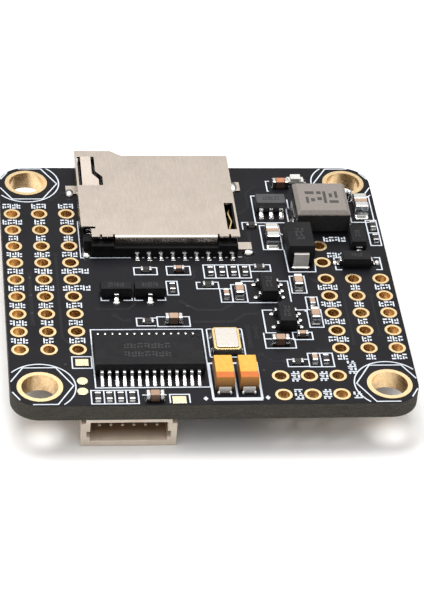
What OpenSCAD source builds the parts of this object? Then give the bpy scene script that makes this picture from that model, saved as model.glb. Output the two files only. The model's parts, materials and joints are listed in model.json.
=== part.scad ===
// Flight controller board: a 36 mm square circuit board on the 30.5 mm mounting pattern.
// The origin is the centre of the mounting pattern on the board's underside.
// +Z points out of the component side, and -Y is the edge with the six-way socket.

/* [Board] */
// Side of the square board
board_side = 35.6; // [35.4:0.2:36.4]
// Thickness of the laminate
board_t = 1.6; // [1.2:0.2:2.0]
// Radius of the board's corners
corner_r = 2.55; // [2.4:0.05:2.8]
// Thickness of the copper and gold plating
plate_t = 0.05; // [0.04:0.01:0.08]

/* [Mounting holes] */
// Distance between neighbouring mounting holes
mount_pitch = 30.5; // [30.5:0.1:30.6]
// Inside diameter of a plated mounting hole
mount_d = 3.2; // [3.0:0.1:3.2]
// Diameter of the gold land round a mounting hole
mount_land_d = 4.0; // [3.8:0.1:4.2]

/* [Header pads] */
// Distance between neighbouring header holes
header_pitch = 2.54; // [2.5:0.01:2.54]
// Inside diameter of a plated header hole
header_d = 1.05; // [0.8:0.05:1.1]
// Diameter of a header land
header_land_d = 1.52; // [1.4:0.02:1.6]

/* [Card socket] */
// Width of the card socket's shell
card_shell_w = 14.6; // [14.5:0.1:14.7]
// Height of the shell over the board
card_shell_h = 1.85; // [1.8:0.05:1.9]
// Thickness of the shell's sheet metal
card_sheet_t = 0.2; // [0.15:0.05:0.2]
// Travel of the card slider, with its overtravel
card_travel = 4.6; // [4.0:0.2:4.6]

/* [Power inductor] */
// Side of the inductor's moulded core
inductor_side = 5.0; // [4.8:0.1:5.0]
// Height of the inductor
inductor_h = 2.4; // [2.0:0.1:3.0]

/* [Wire sockets] */
// Distance between neighbouring socket pins
socket_pitch = 1.0; // [1:0.05:1.05]
// Height of a wire socket under the board
socket_h = 2.95; // [2.9:0.05:3.0]
// Depth of a wire socket
socket_depth = 4.25; // [4.2:0.05:4.3]

/* [Boot button] */
// Height of the released plunger under the board
button_h = 2.0; // [1.8:0.1:2.2]
// Travel of the plunger
button_travel = 0.25; // [0.2:0.05:0.3]

/* [Hidden] */
$fn = 40;
board_half = board_side / 2;
mount_at = mount_pitch / 2;

// Header hole centres: three columns each, rows run towards -Y
left_columns = [-16.76, -14.22, -11.68];
left_top_y = 10.18;
left_rows = 9;
right_columns = [11.60, 14.14, 16.68];
right_top_y = -0.07;
right_rows = 5;
// Two more holes above the right grid's first column
right_extra = [[11.60, 2.47], [11.60, 5.01]];
video_columns = [5.77, 8.31, 10.85];
video_top_y = -14.06;
video_rows = 2;

left_header = [for (x = left_columns, row = [0 : left_rows - 1]) [x, left_top_y - row * header_pitch]];
right_header = concat(
    [for (x = right_columns, row = [0 : right_rows - 1]) [x, right_top_y - row * header_pitch]],
    right_extra);
video_header = [for (x = video_columns, row = [0 : video_rows - 1]) [x, video_top_y - row * header_pitch]];

// Chip resistors on the component side: centre x, centre y, turn
top_resistors = concat(
    [for (i = [0 : 3]) [-10.35 + i * 0.98, -16.8, 90]],
    [for (i = [0 : 3]) [1.05 + i * 1.06, 1.1, 90]],
    [[-5.25, -6.35, 0], [-2.65, -1.35, 90], [-4.85, 1.3, 0], [5.6, 1.65, 0], [0.65, -0.95, 0],
     [7.5, -12.2, 0], [10.05, -11.85, 90], [5.6, 8.2, 0], [17.1, 6.1, 90], [17.1, 8.1, 90]]);
// Chip resistors on the underside
under_resistors = concat(
    [for (i = [0 : 3]) [5.5 + i * 1.4, 10.7, 90]],
    [for (i = [0 : 2]) [13.0 + i * 1.6, 5.6, 90]],
    [[-7.4, 10.4, 90], [-6.2, 10.4, 90], [-1.6, 10.4, 90], [7.4, -0.6, 0], [4.7, 1.2, 90]]);
// Small ceramic capacitors, 1.0 by 0.5
top_small_caps = [[-1.85, 1.3, 0], [2.15, -2.45, 90], [9.85, -3.75, 90], [8.4, -8.4, 0],
    [9.05, -11.85, 90]];
under_small_caps = concat(
    [for (i = [0 : 3]) [-9.8, -9.0 + i * 3.1, 90]],
    [for (i = [0 : 3]) [-7.2 + i * 3.1, 2.8, 0]],
    [for (i = [0 : 2]) [4.5, -8.6 + i * 3.1, 90]],
    [[3.0, -12.2, 90], [3.9, -12.2, 90], [7.4, -6.5, 0], [5.5, -8.6, 90]]);
// Medium ceramic capacitors, 1.6 by 0.8
top_medium_caps = [[-5.45, -17.0, 0], [-2.95, -6.28, 0], [3.36, -2.2, 90], [8.9, -0.95, 90],
    [9.85, -5.85, 90], [6.3, -9.4, 0], [9.05, 14.7, 0]];
under_medium_caps = [[-9.6, 6.2, 90], [-3.9, 6.2, 90]];
// Large ceramic capacitors, 2.2 by 1.25
top_large_caps = [[7.31, 6.22, 90], [16.3, 11.0, 90]];
under_large_caps = [[2.6, 8.2, 0]];

// Leaded packages
osd_at = [-5.62, -11.6];
crystal_at = [1.45, -9.4];
tantalum_at = [[0.66, -14.6], [2.77, -14.6]];
inductor_at = [12.22, 9.65];
buck_at = [7.65, 11.1];
transistor_at = [[-7.85, -2.15], [-4.8, -2.15]];
regulator_at = [[6.05, -1.9], [7.2, -6.25]];
under_regulator_at = [-6.8, 6.2];
power_diode_at = [9.5, 4.08];
small_diode_at = [[15.25, 5.62, 90], [14.69, 2.29, 0]];
processor_at = [-2.6, -4.4];
gyro_at = [7.4, -3.6];
barometer_at = [7.4, -8.8];
under_crystal_at = [0.3, -12.6];
top_led_at = [10.6, 15.55];
leds_at = [for (i = [0 : 2]) [13.0 + i * 1.6, 8.4]];

// Card socket: the shell's edges and the lane of the slider
card_x0 = -10.6;
card_x1 = card_x0 + card_shell_w;
card_front = 4.1;
card_flange_y = 4.3;
card_back = 17.2;
card_lane_back = 18.0;
card_inner_h = card_shell_h - card_sheet_t;
card_base_front = 3.5;
card_floor_h = 0.45;
card_wall_h = 1.2;
card_lip_h = 0.97;
card_slot_x = [-8.0, 3.2];
card_pins = 9;
card_pin_x = -5.5;
card_pin_pitch = 1.1;
// Slider: its length, where it starts at rest and its top face
slider_x = [-10.25, -8.15];
slider_y = [12.2, 17.85];
slider_z = [0.5, 1.15];
// Cam wire: pivot and hook along the lane, and the hook's sideways swing
cam_wire_r = 0.12;
cam_pivot = [-8.8, 4.6];
cam_hook_y = 12.8;
cam_swing = 0.35;
cam_run_z = 1.32;
finger_root_y = 17.1;
groove_floor_z = 0.7;
// Slider spring
slide_spring_x = -9.85;
slide_spring_r = 0.24;
slide_spring_wire_r = 0.05;
slide_spring_z = 0.84;
slide_spring_turns = 18;
slide_spring_y = [5.4, 17.2];

// Sockets on the underside: centre x and number of ways
near_socket = [-7.6, 6];
far_socket = [7.6, 4];
socket_side = 3.3;
socket_pin_z = 1.45;
usb_x = -4.4;
usb_w = 7.5;
usb_h = 2.6;
usb_depth = 5.6;
usb_sheet_t = 0.25;
usb_out = 0.4;
button_at = [7.6, 3.6];

// ---- Helpers ----------------------------------------------------------------

// Stand the children on the component side
module on_top() {
    translate([0, 0, board_t]) children();
}

// Hang the children under the board
module on_underside() {
    mirror([0, 0, 1]) children();
}

// Put the children at each [x, y, turn]
module at_each(places) {
    for (p = places) translate([p[0], p[1], 0]) rotate(p[2]) children();
}

// Box from its low corner to its high corner
module block(low, high) {
    translate(low) cube(high - low);
}

// Extrude an outline drawn in (y, z) along X, over a width centred on x = 0
module along_x(width) {
    rotate([90, 0, 90]) linear_extrude(width, center = true) children();
}

// Extrude an outline drawn in (x, z) along Y, over a length centred on y = 0
module along_y(length) {
    rotate([90, 0, 0]) linear_extrude(length, center = true) children();
}

// Side view of a moulded package: widest at the parting line, where the leads leave
module moulded_side(size, z, height, parting, draft) {
    half = size / 2;
    polygon([[-half + draft, z], [half - draft, z], [half, z + parting],
        [half - draft, z + height], [-half + draft, z + height], [-half, z + parting]]);
}

// Moulded package, size_x by size_y, from z up to z + height
module moulded(size_x, size_y, z, height, parting, draft = 0.08) {
    intersection() {
        along_y(size_y) moulded_side(size_x, z, height, parting, draft);
        along_x(size_x) moulded_side(size_y, z, height, parting, draft);
    }
}

// One gull-wing lead that leaves a package face at y = face and runs towards +Y
module gull_lead(face, reach, rise, thick, width) {
    knee = reach * 0.36;
    foot = reach * 0.45;
    low = rise - thick / 2;
    high = rise + thick / 2;
    along_x(width) polygon([[face, low], [face, high], [face + knee, high],
        [face + foot + thick / 2, thick], [face + reach, thick], [face + reach, 0],
        [face + foot - thick / 2, 0], [face + knee - thick, low]]);
}

// A row of leads on the +Y side of a package, at the given x places
module lead_row(places, face, reach, rise, thick, width) {
    for (x = places) translate([x, 0, 0]) gull_lead(face, reach, rise, thick, width);
}

// Evenly spaced places centred on zero
function spread(count, pitch) = [for (i = [0 : count - 1]) (i - (count - 1) / 2) * pitch];

// Middle of a chip part between its two end caps, lying along X
module chip_middle(size, cap) {
    inset = 0.02;
    translate([-size[0] / 2 + cap, -size[1] / 2 + inset, inset])
        cube([size[0] - 2 * cap, size[1] - 2 * inset, size[2] - 2 * inset]);
}

// The two end caps of a chip part
module chip_caps(size, cap) {
    for (side = [-1, 1])
        translate([side * (size[0] - cap) / 2, 0, size[2] / 2])
            cube([cap, size[1], size[2]], center = true);
}

// Plated hole: a barrel through the board with a land on each face
module plated_hole(bore_d, land_d) {
    difference() {
        union() {
            cylinder(h = board_t, d = bore_d + 2 * plate_t);
            for (z = [-plate_t, board_t]) translate([0, 0, z]) cylinder(h = plate_t, d = land_d);
        }
        translate([0, 0, -1]) cylinder(h = board_t + 2, d = bore_d);
    }
}

module plated_holes(places, bore_d, land_d) {
    for (p = places) translate([p[0], p[1], 0]) plated_hole(bore_d, land_d);
}

module drill(places, bore_d) {
    for (p = places) translate([p[0], p[1], -1])
        cylinder(h = board_t + 2, d = bore_d + 2 * plate_t);
}

// Centres of the four mounting holes
function mount_places() = [for (x = [-mount_at, mount_at], y = [-mount_at, mount_at]) [x, y]];

// ---- Board ------------------------------------------------------------------

module board_outline() {
    flat = board_half - corner_r;
    square([board_side, 2 * flat], center = true);
    square([2 * flat, board_side], center = true);
    for (x = [-flat, flat], y = [-flat, flat]) translate([x, y]) circle(r = corner_r);
}

module circuit_board() {
    color([0.09, 0.09, 0.11]) difference() {
        linear_extrude(board_t) board_outline();
        drill(mount_places(), mount_d);
        drill(left_header, header_d);
        drill(right_header, header_d);
        drill(video_header, header_d);
    }
}

module mounting_hole_plating() {
    color([0.88, 0.70, 0.42]) plated_holes(mount_places(), mount_d, mount_land_d);
}

module left_header_plating() {
    color([0.88, 0.70, 0.42]) plated_holes(left_header, header_d, header_land_d);
}

module right_header_plating() {
    color([0.88, 0.70, 0.42]) plated_holes(right_header, header_d, header_land_d);
}

module video_header_plating() {
    color([0.88, 0.70, 0.42]) plated_holes(video_header, header_d, header_land_d);
}

// Bare gold test and solder pads near the front edge
module surface_pads() {
    color([0.90, 0.74, 0.46]) on_top() {
        block([-12.02, -12.4, 0], [-10.88, -11.5, plate_t]);
        block([-3.95, -17.62, 0], [-2.75, -16.68, plate_t]);
        for (p = [[-11.55, -14.5], [-11.6, -15.9]])
            translate([p[0], p[1], 0]) cylinder(h = plate_t, r = 0.48);
    }
}

// ---- Card socket ------------------------------------------------------------

// Top of the shell: the deep part covers the slider lane, with a corner cut away at its front
module card_top_outline() {
    step_x = [-7.4, -6.0];
    steps = 8;
    corner = [-9.7, 5.7];
    polygon(concat(
        [[corner[0], card_front], [card_x1, card_front], [card_x1, card_back]],
        [for (i = [0 : steps]) let (u = 1 - i / steps)
            [step_x[0] + (step_x[1] - step_x[0]) * u,
             card_lane_back - (card_lane_back - card_back) * (1 - cos(180 * u)) / 2]],
        [[card_x0, card_lane_back], [card_x0, corner[1]], [corner[0] + 0.4, corner[1]],
         [corner[0] + 0.4, corner[1] - 0.35], [corner[0], corner[1] - 0.35]]));
}

// Window in the top round the spring finger that holds the cam wire down
module finger_window() {
    polygon([[-10.4, 17.0], [-10.4, 12.3], [-8.15, 12.3], [-8.15, 13.7], [-8.78, 14.6], [-8.78, 17.0]]);
}

module finger_outline() {
    polygon([[-10.08, finger_root_y], [-10.08, 12.6], [-8.5, 12.6], [-8.5, 13.5], [-9.1, 14.4],
        [-9.1, finger_root_y]]);
}

module card_shell() {
    finger_fall = 2.6;
    notch_x = [-8.85, -7.65, 2.0, 3.05];
    left_wall_y = 7.6;
    right_wall_y = 6.0;
    foot_h = 0.3;
    tab_t = 0.15;
    bend_r = 0.27;
    bend = [for (a = [0 : 15 : 90]) [card_flange_y - bend_r * sin(a), card_shell_h - bend_r * (1 - cos(a))]];
    lip_y = card_flange_y - bend_r;
    color([0.80, 0.76, 0.71]) on_top() {
        difference() {
            translate([0, 0, card_inner_h]) linear_extrude(card_sheet_t) card_top_outline();
            translate([0, 0, 1]) linear_extrude(2) finger_window();
            for (x = notch_x) block([x - 0.1, 3, 1], [x + 0.1, card_front + 0.35, 3]);
            block([notch_x[1], 3, 1], [notch_x[2], card_flange_y, 3]);
            block([2.95, 5.2, 1], [card_x1 - card_sheet_t, 9.4, 3]);
        }
        // The spring finger hangs from its root and dips towards its free end
        translate([0, finger_root_y, card_inner_h]) rotate([finger_fall, 0, 0])
            translate([0, -finger_root_y, 0]) linear_extrude(card_sheet_t) finger_outline();
        // Side walls, and the bright lip bent down over the contacts
        block([card_x0, left_wall_y, 0], [card_x0 + card_sheet_t, card_lane_back, card_inner_h]);
        block([card_x1 - card_sheet_t, right_wall_y, 0], [card_x1, card_back, card_inner_h]);
        translate([(notch_x[1] + notch_x[2]) / 2, 0, 0]) along_x(notch_x[2] - notch_x[1] - 0.2)
            polygon(concat([[card_flange_y + 0.1, card_inner_h], [card_flange_y + 0.1, card_shell_h]],
                bend, [[lip_y, card_lip_h],
                [lip_y + card_sheet_t, card_lip_h], [lip_y + card_sheet_t, card_inner_h - 0.1]]));
        // Strip that runs forward from the left wall under the insulator to its solder tab
        block([card_x0 + 0.1, left_wall_y, 0], [card_x0 + 0.4, left_wall_y + 0.3, tab_t]);
        block([card_x0 + 0.3, 3.9, 0], [card_x0 + 0.6, left_wall_y + 0.3, tab_t]);
        block([card_x0 + 0.1, 3.9, 0], [-9.8, 4.7, tab_t]);
        // Low foot in front of the right wall, with its tab turned outwards
        block([card_x1 - card_sheet_t, 4.4, 0], [card_x1, right_wall_y + 0.1, foot_h]);
        block([card_x1 - 0.1, 4.4, 0], [card_x1 + 1.25, 5.5, tab_t]);
        // Solder tabs at the back
        block([card_x0 - 0.95, 13.3, 0], [card_x0 + 0.1, 14.6, tab_t]);
        block([card_x1 - 0.1, 13.8, 0], [card_x1 + 1.1, 15.2, tab_t]);
    }
}

// Insulator: floor, contact wall, side rails and the block that carries the cam wire's pivot
module card_base() {
    inner = [card_x0 + card_sheet_t, card_x1 - card_sheet_t];
    pin_slot = 0.46;
    tab_room = 0.2;
    color([0.07, 0.07, 0.075]) on_top() difference() {
        union() {
            block([inner[0], card_base_front, 0], [inner[1], 16.8, card_floor_h]);
            block([inner[0], 16.8, 0], [card_slot_x[0] - 0.1, card_lane_back - 0.1, card_floor_h]);
            block([-9.7, card_base_front, 0], [inner[1], 4.9, card_wall_h]);
            block([inner[0], 4.3, 0], [card_slot_x[0] - 0.1, 5.4, card_wall_h - 0.02]);
            block([card_slot_x[1], 4.9, 0], [inner[1], 16.8, card_inner_h]);
        }
        // Room for the shell's lip
        block([-7.65, 3, card_lip_h - 0.02], [2.0, 4.35, 3]);
        // Slots for the contacts
        for (i = [0 : card_pins - 1]) translate([card_pin_x + i * card_pin_pitch, 0, 0])
            block([-pin_slot / 2, 3, -1], [pin_slot / 2, 5.2, 0.62]);
        // Pivot hole of the cam wire
        translate([cam_pivot[0], cam_pivot[1], 0.5]) cylinder(h = 2, r = cam_wire_r + 0.04);
        // Trough of the slider spring
        block([slide_spring_x - 0.35, slide_spring_y[0], card_floor_h - 0.2],
            [slide_spring_x + 0.35, 12.0, 2]);
        // Pocket of the card-detect spring
        block([3.0, 5.0, card_floor_h], [card_x1 - card_sheet_t - 0.12, 9.8, 2]);
        // Room for the left solder tab, the land in front of it and the strip behind it
        block([-11, 3, -1], [-9.7, 4.3, 3]);
        block([-11, 3, -1], [-9.7, 4.75, tab_room]);
        block([-11, 4, -1], [card_x0 + 0.65, 8, tab_room]);
    }
}

// Sprung contacts: tail on the board, run under the wall, blade that rises into the card slot
module card_contact(tip_y) {
    thick = 0.12;
    width = 0.4;
    run = card_floor_h;
    along_x(width) polygon([[2.75, 0], [2.75, thick], [3.75, thick], [4.2, run + thick],
        [tip_y - 2.4, run + thick], [tip_y - 0.3, 0.98], [tip_y, 0.98], [tip_y + 0.4, 0.72],
        [tip_y + 0.4 - thick, 0.68], [tip_y - 0.1, 0.86], [tip_y - 0.25, 0.86],
        [tip_y - 2.35, run], [4.3, run], [3.85, 0]]);
}

module card_contacts() {
    color([0.86, 0.74, 0.50]) on_top()
        for (i = [0 : card_pins - 2]) translate([card_pin_x + i * card_pin_pitch, 0, 0])
            card_contact(i % 2 == 0 ? 9.2 : 10.0);
}

// Card-detect spring: a kinked strip in its pocket beside the slot, with the ninth tail
module card_detect_contact() {
    x = card_pin_x + (card_pins - 1) * card_pin_pitch;
    thick = 0.12;
    color([0.90, 0.72, 0.38]) on_top() {
        translate([0, 0, card_floor_h]) linear_extrude(0.75)
            polygon([[3.2, 5.25], [3.32, 5.25], [3.32, 6.2], [3.62, 7.3], [3.4, 8.6], [3.62, 9.5],
                [3.5, 9.55], [3.26, 8.62], [3.48, 7.3], [3.2, 6.25]]);
        translate([x, 0, 0]) along_x(0.4) polygon([[2.75, 0], [2.75, thick], [3.75, thick],
            [4.2, card_floor_h + thick], [5.25, card_floor_h + thick], [5.25, card_floor_h],
            [4.3, card_floor_h], [3.85, 0]]);
    }
}

// Where the cam wire's hook stands in the slider after a travel of s
function hook_x(s) = cam_pivot[0] - cam_swing * s / card_travel;

// Slider with a trough for its spring and a cam groove with an island between its two lanes
module card_slider() {
    lane = 0.19;
    color([0.16, 0.16, 0.17]) on_top() difference() {
        union() {
            block([slider_x[0], slider_y[0], slider_z[0]], [slider_x[1], slider_y[1], slider_z[1]]);
            // Lug that the card's front edge pushes
            block([slider_x[1], slider_y[0], slider_z[0]], [slider_x[1] + 0.55, 12.9, slider_z[1]]);
        }
        block([slide_spring_x - 0.3, 11, 0.4], [slide_spring_x + 0.3, slide_spring_y[1], 2]);
        translate([0, 0, groove_floor_z]) linear_extrude(2) difference() {
            polygon([[hook_x(0) - lane, cam_hook_y - 0.2], [-8.3, cam_hook_y - 0.2],
                [-8.3, 17.2], [-8.6, 17.62], [hook_x(card_travel) - lane, 17.62]]);
            polygon([[hook_x(1.3) + lane, 14.1], [-8.6, 14.1], [-8.6, 16.4],
                [-8.75, 16.25], [hook_x(3.7) + lane, 16.5]]);
        }
    }
}

// Helix along +Y as one closed tube
function helix_point(a, y0, y1, turns) =
    [slide_spring_x + slide_spring_r * cos(a), y0 + (y1 - y0) * a / (360 * turns),
     slide_spring_z + slide_spring_r * sin(a)];

module card_slider_spring() {
    sides = 5;
    per_turn = 9;
    rings = slide_spring_turns * per_turn;
    inset = slide_spring_wire_r + 0.02;
    y0 = slide_spring_y[0] + inset;
    y1 = slide_spring_y[1] - inset;
    points = [for (i = [0 : rings], j = [0 : sides - 1])
        let (a = i * 360 / per_turn, b = j * 360 / sides,
             c = helix_point(a, y0, y1, slide_spring_turns), r = slide_spring_wire_r)
        c + [r * cos(b) * cos(a), r * sin(b), r * cos(b) * sin(a)]];
    walls = [for (i = [0 : rings - 1], j = [0 : sides - 1])
        let (a = i * sides + j, b = i * sides + (j + 1) % sides)
        [a, b, b + sides, a + sides]];
    ends = [[for (j = [sides - 1 : -1 : 0]) j], [for (j = [0 : sides - 1]) rings * sides + j]];
    color([0.78, 0.78, 0.80]) on_top() polyhedron(points = points, faces = concat(walls, ends));
}

// Bent wire with two turned-down ends
module card_cam_wire() {
    hook = [cam_pivot[0], cam_hook_y];
    color([0.80, 0.80, 0.82]) on_top() {
        translate([cam_pivot[0], cam_pivot[1], cam_run_z]) rotate([-90, 0, 0])
            cylinder(h = cam_hook_y - cam_pivot[1], r = cam_wire_r);
        for (p = [cam_pivot, hook]) translate([p[0], p[1], cam_run_z]) sphere(r = cam_wire_r);
        translate([cam_pivot[0], cam_pivot[1], 0.6]) cylinder(h = cam_run_z - 0.6, r = cam_wire_r);
        translate([hook[0], hook[1], groove_floor_z + 0.05])
            cylinder(h = cam_run_z - groove_floor_z - 0.05, r = cam_wire_r);
    }
}

// ---- Chips on the component side ---------------------------------------------

module osd_chip_body() {
    color([0.13, 0.13, 0.14]) on_top() translate(osd_at) difference() {
        moulded(9.7, 4.4, 0.1, 1.1, 0.5, 0.1);
        translate([4.2, 1.5, 1.12]) cylinder(h = 1, r = 0.35);
    }
}

module osd_chip_leads() {
    color([0.80, 0.80, 0.80]) on_top() translate(osd_at) for (turn = [0, 180]) rotate(turn)
        lead_row(spread(14, 0.65), 2.2, 1.0, 0.6, 0.15, 0.3);
}

// Flat plate with cut corners
module cut_plate(size, cut) {
    x = size[0] / 2;
    y = size[1] / 2;
    linear_extrude(size[2]) polygon([[-x + cut, -y], [x - cut, -y], [x, -y + cut], [x, y - cut],
        [x - cut, y], [-x + cut, y], [-x, y - cut], [-x, -y + cut]]);
}

// Crystal can: ceramic base, gold seal ring and lid, smaller at each step
module crystal_part(part, size) {
    ring_step = 0.1;
    lid_step = 0.52;
    if (part == "base") cut_plate([size[0], size[1], 0.5], 0.16);
    if (part == "ring") translate([0, 0, 0.5])
        cut_plate([size[0] - ring_step, size[1] - ring_step, 0.1], 0.22);
    if (part == "lid") translate([0, 0, 0.6])
        cut_plate([size[0] - lid_step, size[1] - lid_step, 0.12], 0.14);
}

module crystals(part) {
    on_top() translate(crystal_at) crystal_part(part, [2.5, 3.2]);
    on_underside() translate(under_crystal_at) crystal_part(part, [3.2, 2.5]);
}

module crystal_bases() {
    color([0.20, 0.19, 0.19]) crystals("base");
}

module crystal_rings() {
    color([0.85, 0.70, 0.42]) crystals("ring");
}

module crystal_lids() {
    color([0.88, 0.87, 0.86]) crystals("lid");
}

module tantalum_bodies() {
    color([0.93, 0.68, 0.16]) on_top() for (p = tantalum_at) translate(p)
        moulded(1.7, 3.2, 0.12, 1.55, 0.75, 0.06);
}

// Flat tab that leaves each end under mid height and folds under the body
module tantalum_terminals() {
    thick = 0.12;
    end = 1.6;
    rise = 0.68;
    color([0.84, 0.84, 0.84]) on_top() for (p = tantalum_at, turn = [0, 180])
        translate(p) rotate(turn) along_x(1.1) polygon([[end, rise], [end + thick, rise],
            [end + thick, 0], [0.8, 0], [0.8, thick], [end, thick]]);
}

module inductor_core() {
    edge = 0.35;
    half = inductor_side / 2;
    low = 0.12;
    color([0.52, 0.49, 0.47]) on_top() translate(inductor_at) intersection() {
        along_y(inductor_side) polygon([[-half, low], [half, low], [half, inductor_h - edge],
            [half - edge, inductor_h], [-half + edge, inductor_h], [-half, inductor_h - edge]]);
        along_x(inductor_side) polygon([[-half, low], [half, low], [half, inductor_h - edge],
            [half - edge, inductor_h], [-half + edge, inductor_h], [-half, inductor_h - edge]]);
    }
}

// Copper ends: a plate under the core that turns a little way up each side
module inductor_terminals() {
    half = inductor_side / 2;
    thick = 0.12;
    color([0.78, 0.76, 0.73]) on_top() translate(inductor_at) for (turn = [0, 180]) rotate(turn)
        along_y(2.6) polygon([[half - 1.1, 0], [half + thick, 0], [half + thick, 1.0],
            [half, 1.0], [half, thick], [half - 1.1, thick]]);
}

module buck_chip_body() {
    color([0.14, 0.14, 0.15]) on_top() translate(buck_at) moulded(2.9, 1.6, 0.08, 1.1, 0.5);
}

module buck_chip_leads() {
    color([0.82, 0.82, 0.82]) on_top() translate(buck_at) for (turn = [0, 180]) rotate(turn)
        lead_row(spread(3, 0.95), 0.8, 0.62, 0.58, 0.13, 0.38);
}

module transistor_bodies() {
    color([0.12, 0.12, 0.13]) on_top() for (p = transistor_at) translate(p)
        moulded(2.9, 1.3, 0.06, 1.0, 0.5);
}

// Single lead to the front, two to the back
module transistor_leads() {
    color([0.82, 0.82, 0.82]) on_top() for (p = transistor_at) translate(p) {
        rotate(180) lead_row([0], 0.65, 0.6, 0.56, 0.12, 0.42);
        lead_row(spread(2, 1.9), 0.65, 0.6, 0.56, 0.12, 0.42);
    }
}

// Five-lead package standing across: long side along Y
module five_lead_body() {
    moulded(1.6, 2.9, 0.06, 1.1, 0.52);
}

module five_lead_leads() {
    rotate(90) lead_row(spread(2, 1.9), 0.8, 0.55, 0.58, 0.13, 0.38);
    rotate(-90) lead_row(spread(3, 0.95), 0.8, 0.55, 0.58, 0.13, 0.38);
}

module regulator_bodies() {
    color([0.12, 0.12, 0.13]) {
        on_top() for (p = regulator_at) translate(p) five_lead_body();
        on_underside() translate(under_regulator_at) five_lead_body();
    }
}

module regulator_leads() {
    color([0.82, 0.82, 0.82]) {
        on_top() for (p = regulator_at) translate(p) five_lead_leads();
        on_underside() translate(under_regulator_at) five_lead_leads();
    }
}

module power_diode_body() {
    color([0.10, 0.10, 0.105]) on_top() translate(power_diode_at)
        moulded(2.6, 4.0, 0.17, 1.98, 1.2, 0.1);
}

// Wide tabs that leave at mid height, fold down the ends and turn under
module power_diode_terminals() {
    thick = 0.16;
    out = 2.3;
    color([0.74, 0.72, 0.70]) on_top() translate(power_diode_at) for (turn = [0, 180])
        rotate(turn) along_x(1.4) polygon([[2.0, 1.45], [out, 1.45], [out, 0], [1.2, 0],
            [1.2, thick], [out - thick, thick], [out - thick, 1.29], [2.0, 1.29]]);
}

module small_diode_bodies() {
    color([0.12, 0.12, 0.125]) on_top() at_each(small_diode_at)
        moulded(2.7, 1.5, 0.04, 1.0, 0.5, 0.08);
}

module small_diode_leads() {
    color([0.84, 0.84, 0.84]) on_top() at_each(small_diode_at) for (turn = [90, -90])
        rotate(turn) lead_row([0], 1.35, 0.5, 0.5, 0.14, 0.55);
}

// ---- Chip resistors and capacitors -------------------------------------------

resistor_size = [1.0, 0.5, 0.35];
small_cap_size = [1.0, 0.5, 0.5];
medium_cap_size = [1.6, 0.8, 0.8];
large_cap_size = [2.2, 1.25, 1.1];
large_cap_end = 0.88;

module resistor_bodies() {
    color([0.10, 0.10, 0.11]) {
        on_top() at_each(top_resistors) chip_middle(resistor_size, 0.22);
        on_underside() at_each(under_resistors) chip_middle(resistor_size, 0.22);
    }
}

module resistor_terminals() {
    color([0.82, 0.82, 0.82]) {
        on_top() at_each(top_resistors) chip_caps(resistor_size, 0.22);
        on_underside() at_each(under_resistors) chip_caps(resistor_size, 0.22);
    }
}

module small_capacitor_bodies() {
    color([0.55, 0.42, 0.32]) {
        on_top() at_each(top_small_caps) chip_middle(small_cap_size, 0.25);
        on_underside() at_each(under_small_caps) chip_middle(small_cap_size, 0.25);
    }
}

module small_capacitor_terminals() {
    color([0.85, 0.84, 0.82]) {
        on_top() at_each(top_small_caps) chip_caps(small_cap_size, 0.25);
        on_underside() at_each(under_small_caps) chip_caps(small_cap_size, 0.25);
    }
}

module large_capacitor_bodies() {
    color([0.55, 0.40, 0.30]) {
        on_top() at_each(top_medium_caps) chip_middle(medium_cap_size, 0.4);
        on_top() at_each(top_large_caps) chip_middle(large_cap_size, large_cap_end);
        on_underside() at_each(under_medium_caps) chip_middle(medium_cap_size, 0.4);
        on_underside() at_each(under_large_caps) chip_middle(large_cap_size, large_cap_end);
    }
}

module large_capacitor_terminals() {
    color([0.90, 0.87, 0.80]) {
        on_top() at_each(top_medium_caps) chip_caps(medium_cap_size, 0.4);
        on_top() at_each(top_large_caps) chip_caps(large_cap_size, large_cap_end);
        on_underside() at_each(under_medium_caps) chip_caps(medium_cap_size, 0.4);
        on_underside() at_each(under_large_caps) chip_caps(large_cap_size, large_cap_end);
    }
}

// ---- Wire sockets on the underside --------------------------------------------

function socket_w(ways) = (ways - 1) * socket_pitch + socket_side;

// Socket frame: mouth at y = 0, depth towards +Y, z away from the board
module at_near_socket() {
    on_underside() translate([near_socket[0], -board_half, 0]) children();
}

module at_far_socket() {
    on_underside() translate([far_socket[0], board_half, 0]) rotate(180) children();
}

module socket_housing(ways) {
    half = socket_w(ways) / 2;
    mouth = half - 0.8;
    color([0.83, 0.76, 0.66]) difference() {
        block([-half, 0, 0], [half, socket_depth, socket_h]);
        // Mouth, and the two side grooves that guide the plug
        block([-mouth, -1, 0.35], [mouth, 3.45, socket_h - 0.6]);
        block([-mouth - 0.3, -1, 1.35], [mouth + 0.3, 2.2, 2.0]);
        // Steps beside the board for the solder tabs
        for (side = [-1, 1]) translate([side * half, 0, 0]) block([-0.42, -1, -1], [0.42, 2.6, 0.45]);
        // Holes of the pins through the back wall
        for (x = spread(ways, socket_pitch)) translate([x, 0, 0])
            block([-0.14, 3, socket_pin_z - 0.12], [0.14, socket_depth + 1, socket_pin_z + 0.12]);
    }
}

// Square pin that stands in the mouth, leaves through the back wall and drops to the board
module socket_pins(ways) {
    thick = 0.2;
    color([0.82, 0.80, 0.76]) for (x = spread(ways, socket_pitch)) translate([x, 0, 0])
        along_x(0.24) polygon([[1.0, socket_pin_z - thick / 2], [0.9, socket_pin_z],
            [1.0, socket_pin_z + thick / 2], [socket_depth + 0.3, socket_pin_z + thick / 2],
            [socket_depth + 0.62, thick], [socket_depth + 1.1, thick], [socket_depth + 1.1, 0],
            [socket_depth + 0.44, 0], [socket_depth + 0.12, socket_pin_z - thick / 2]]);
}

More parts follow.
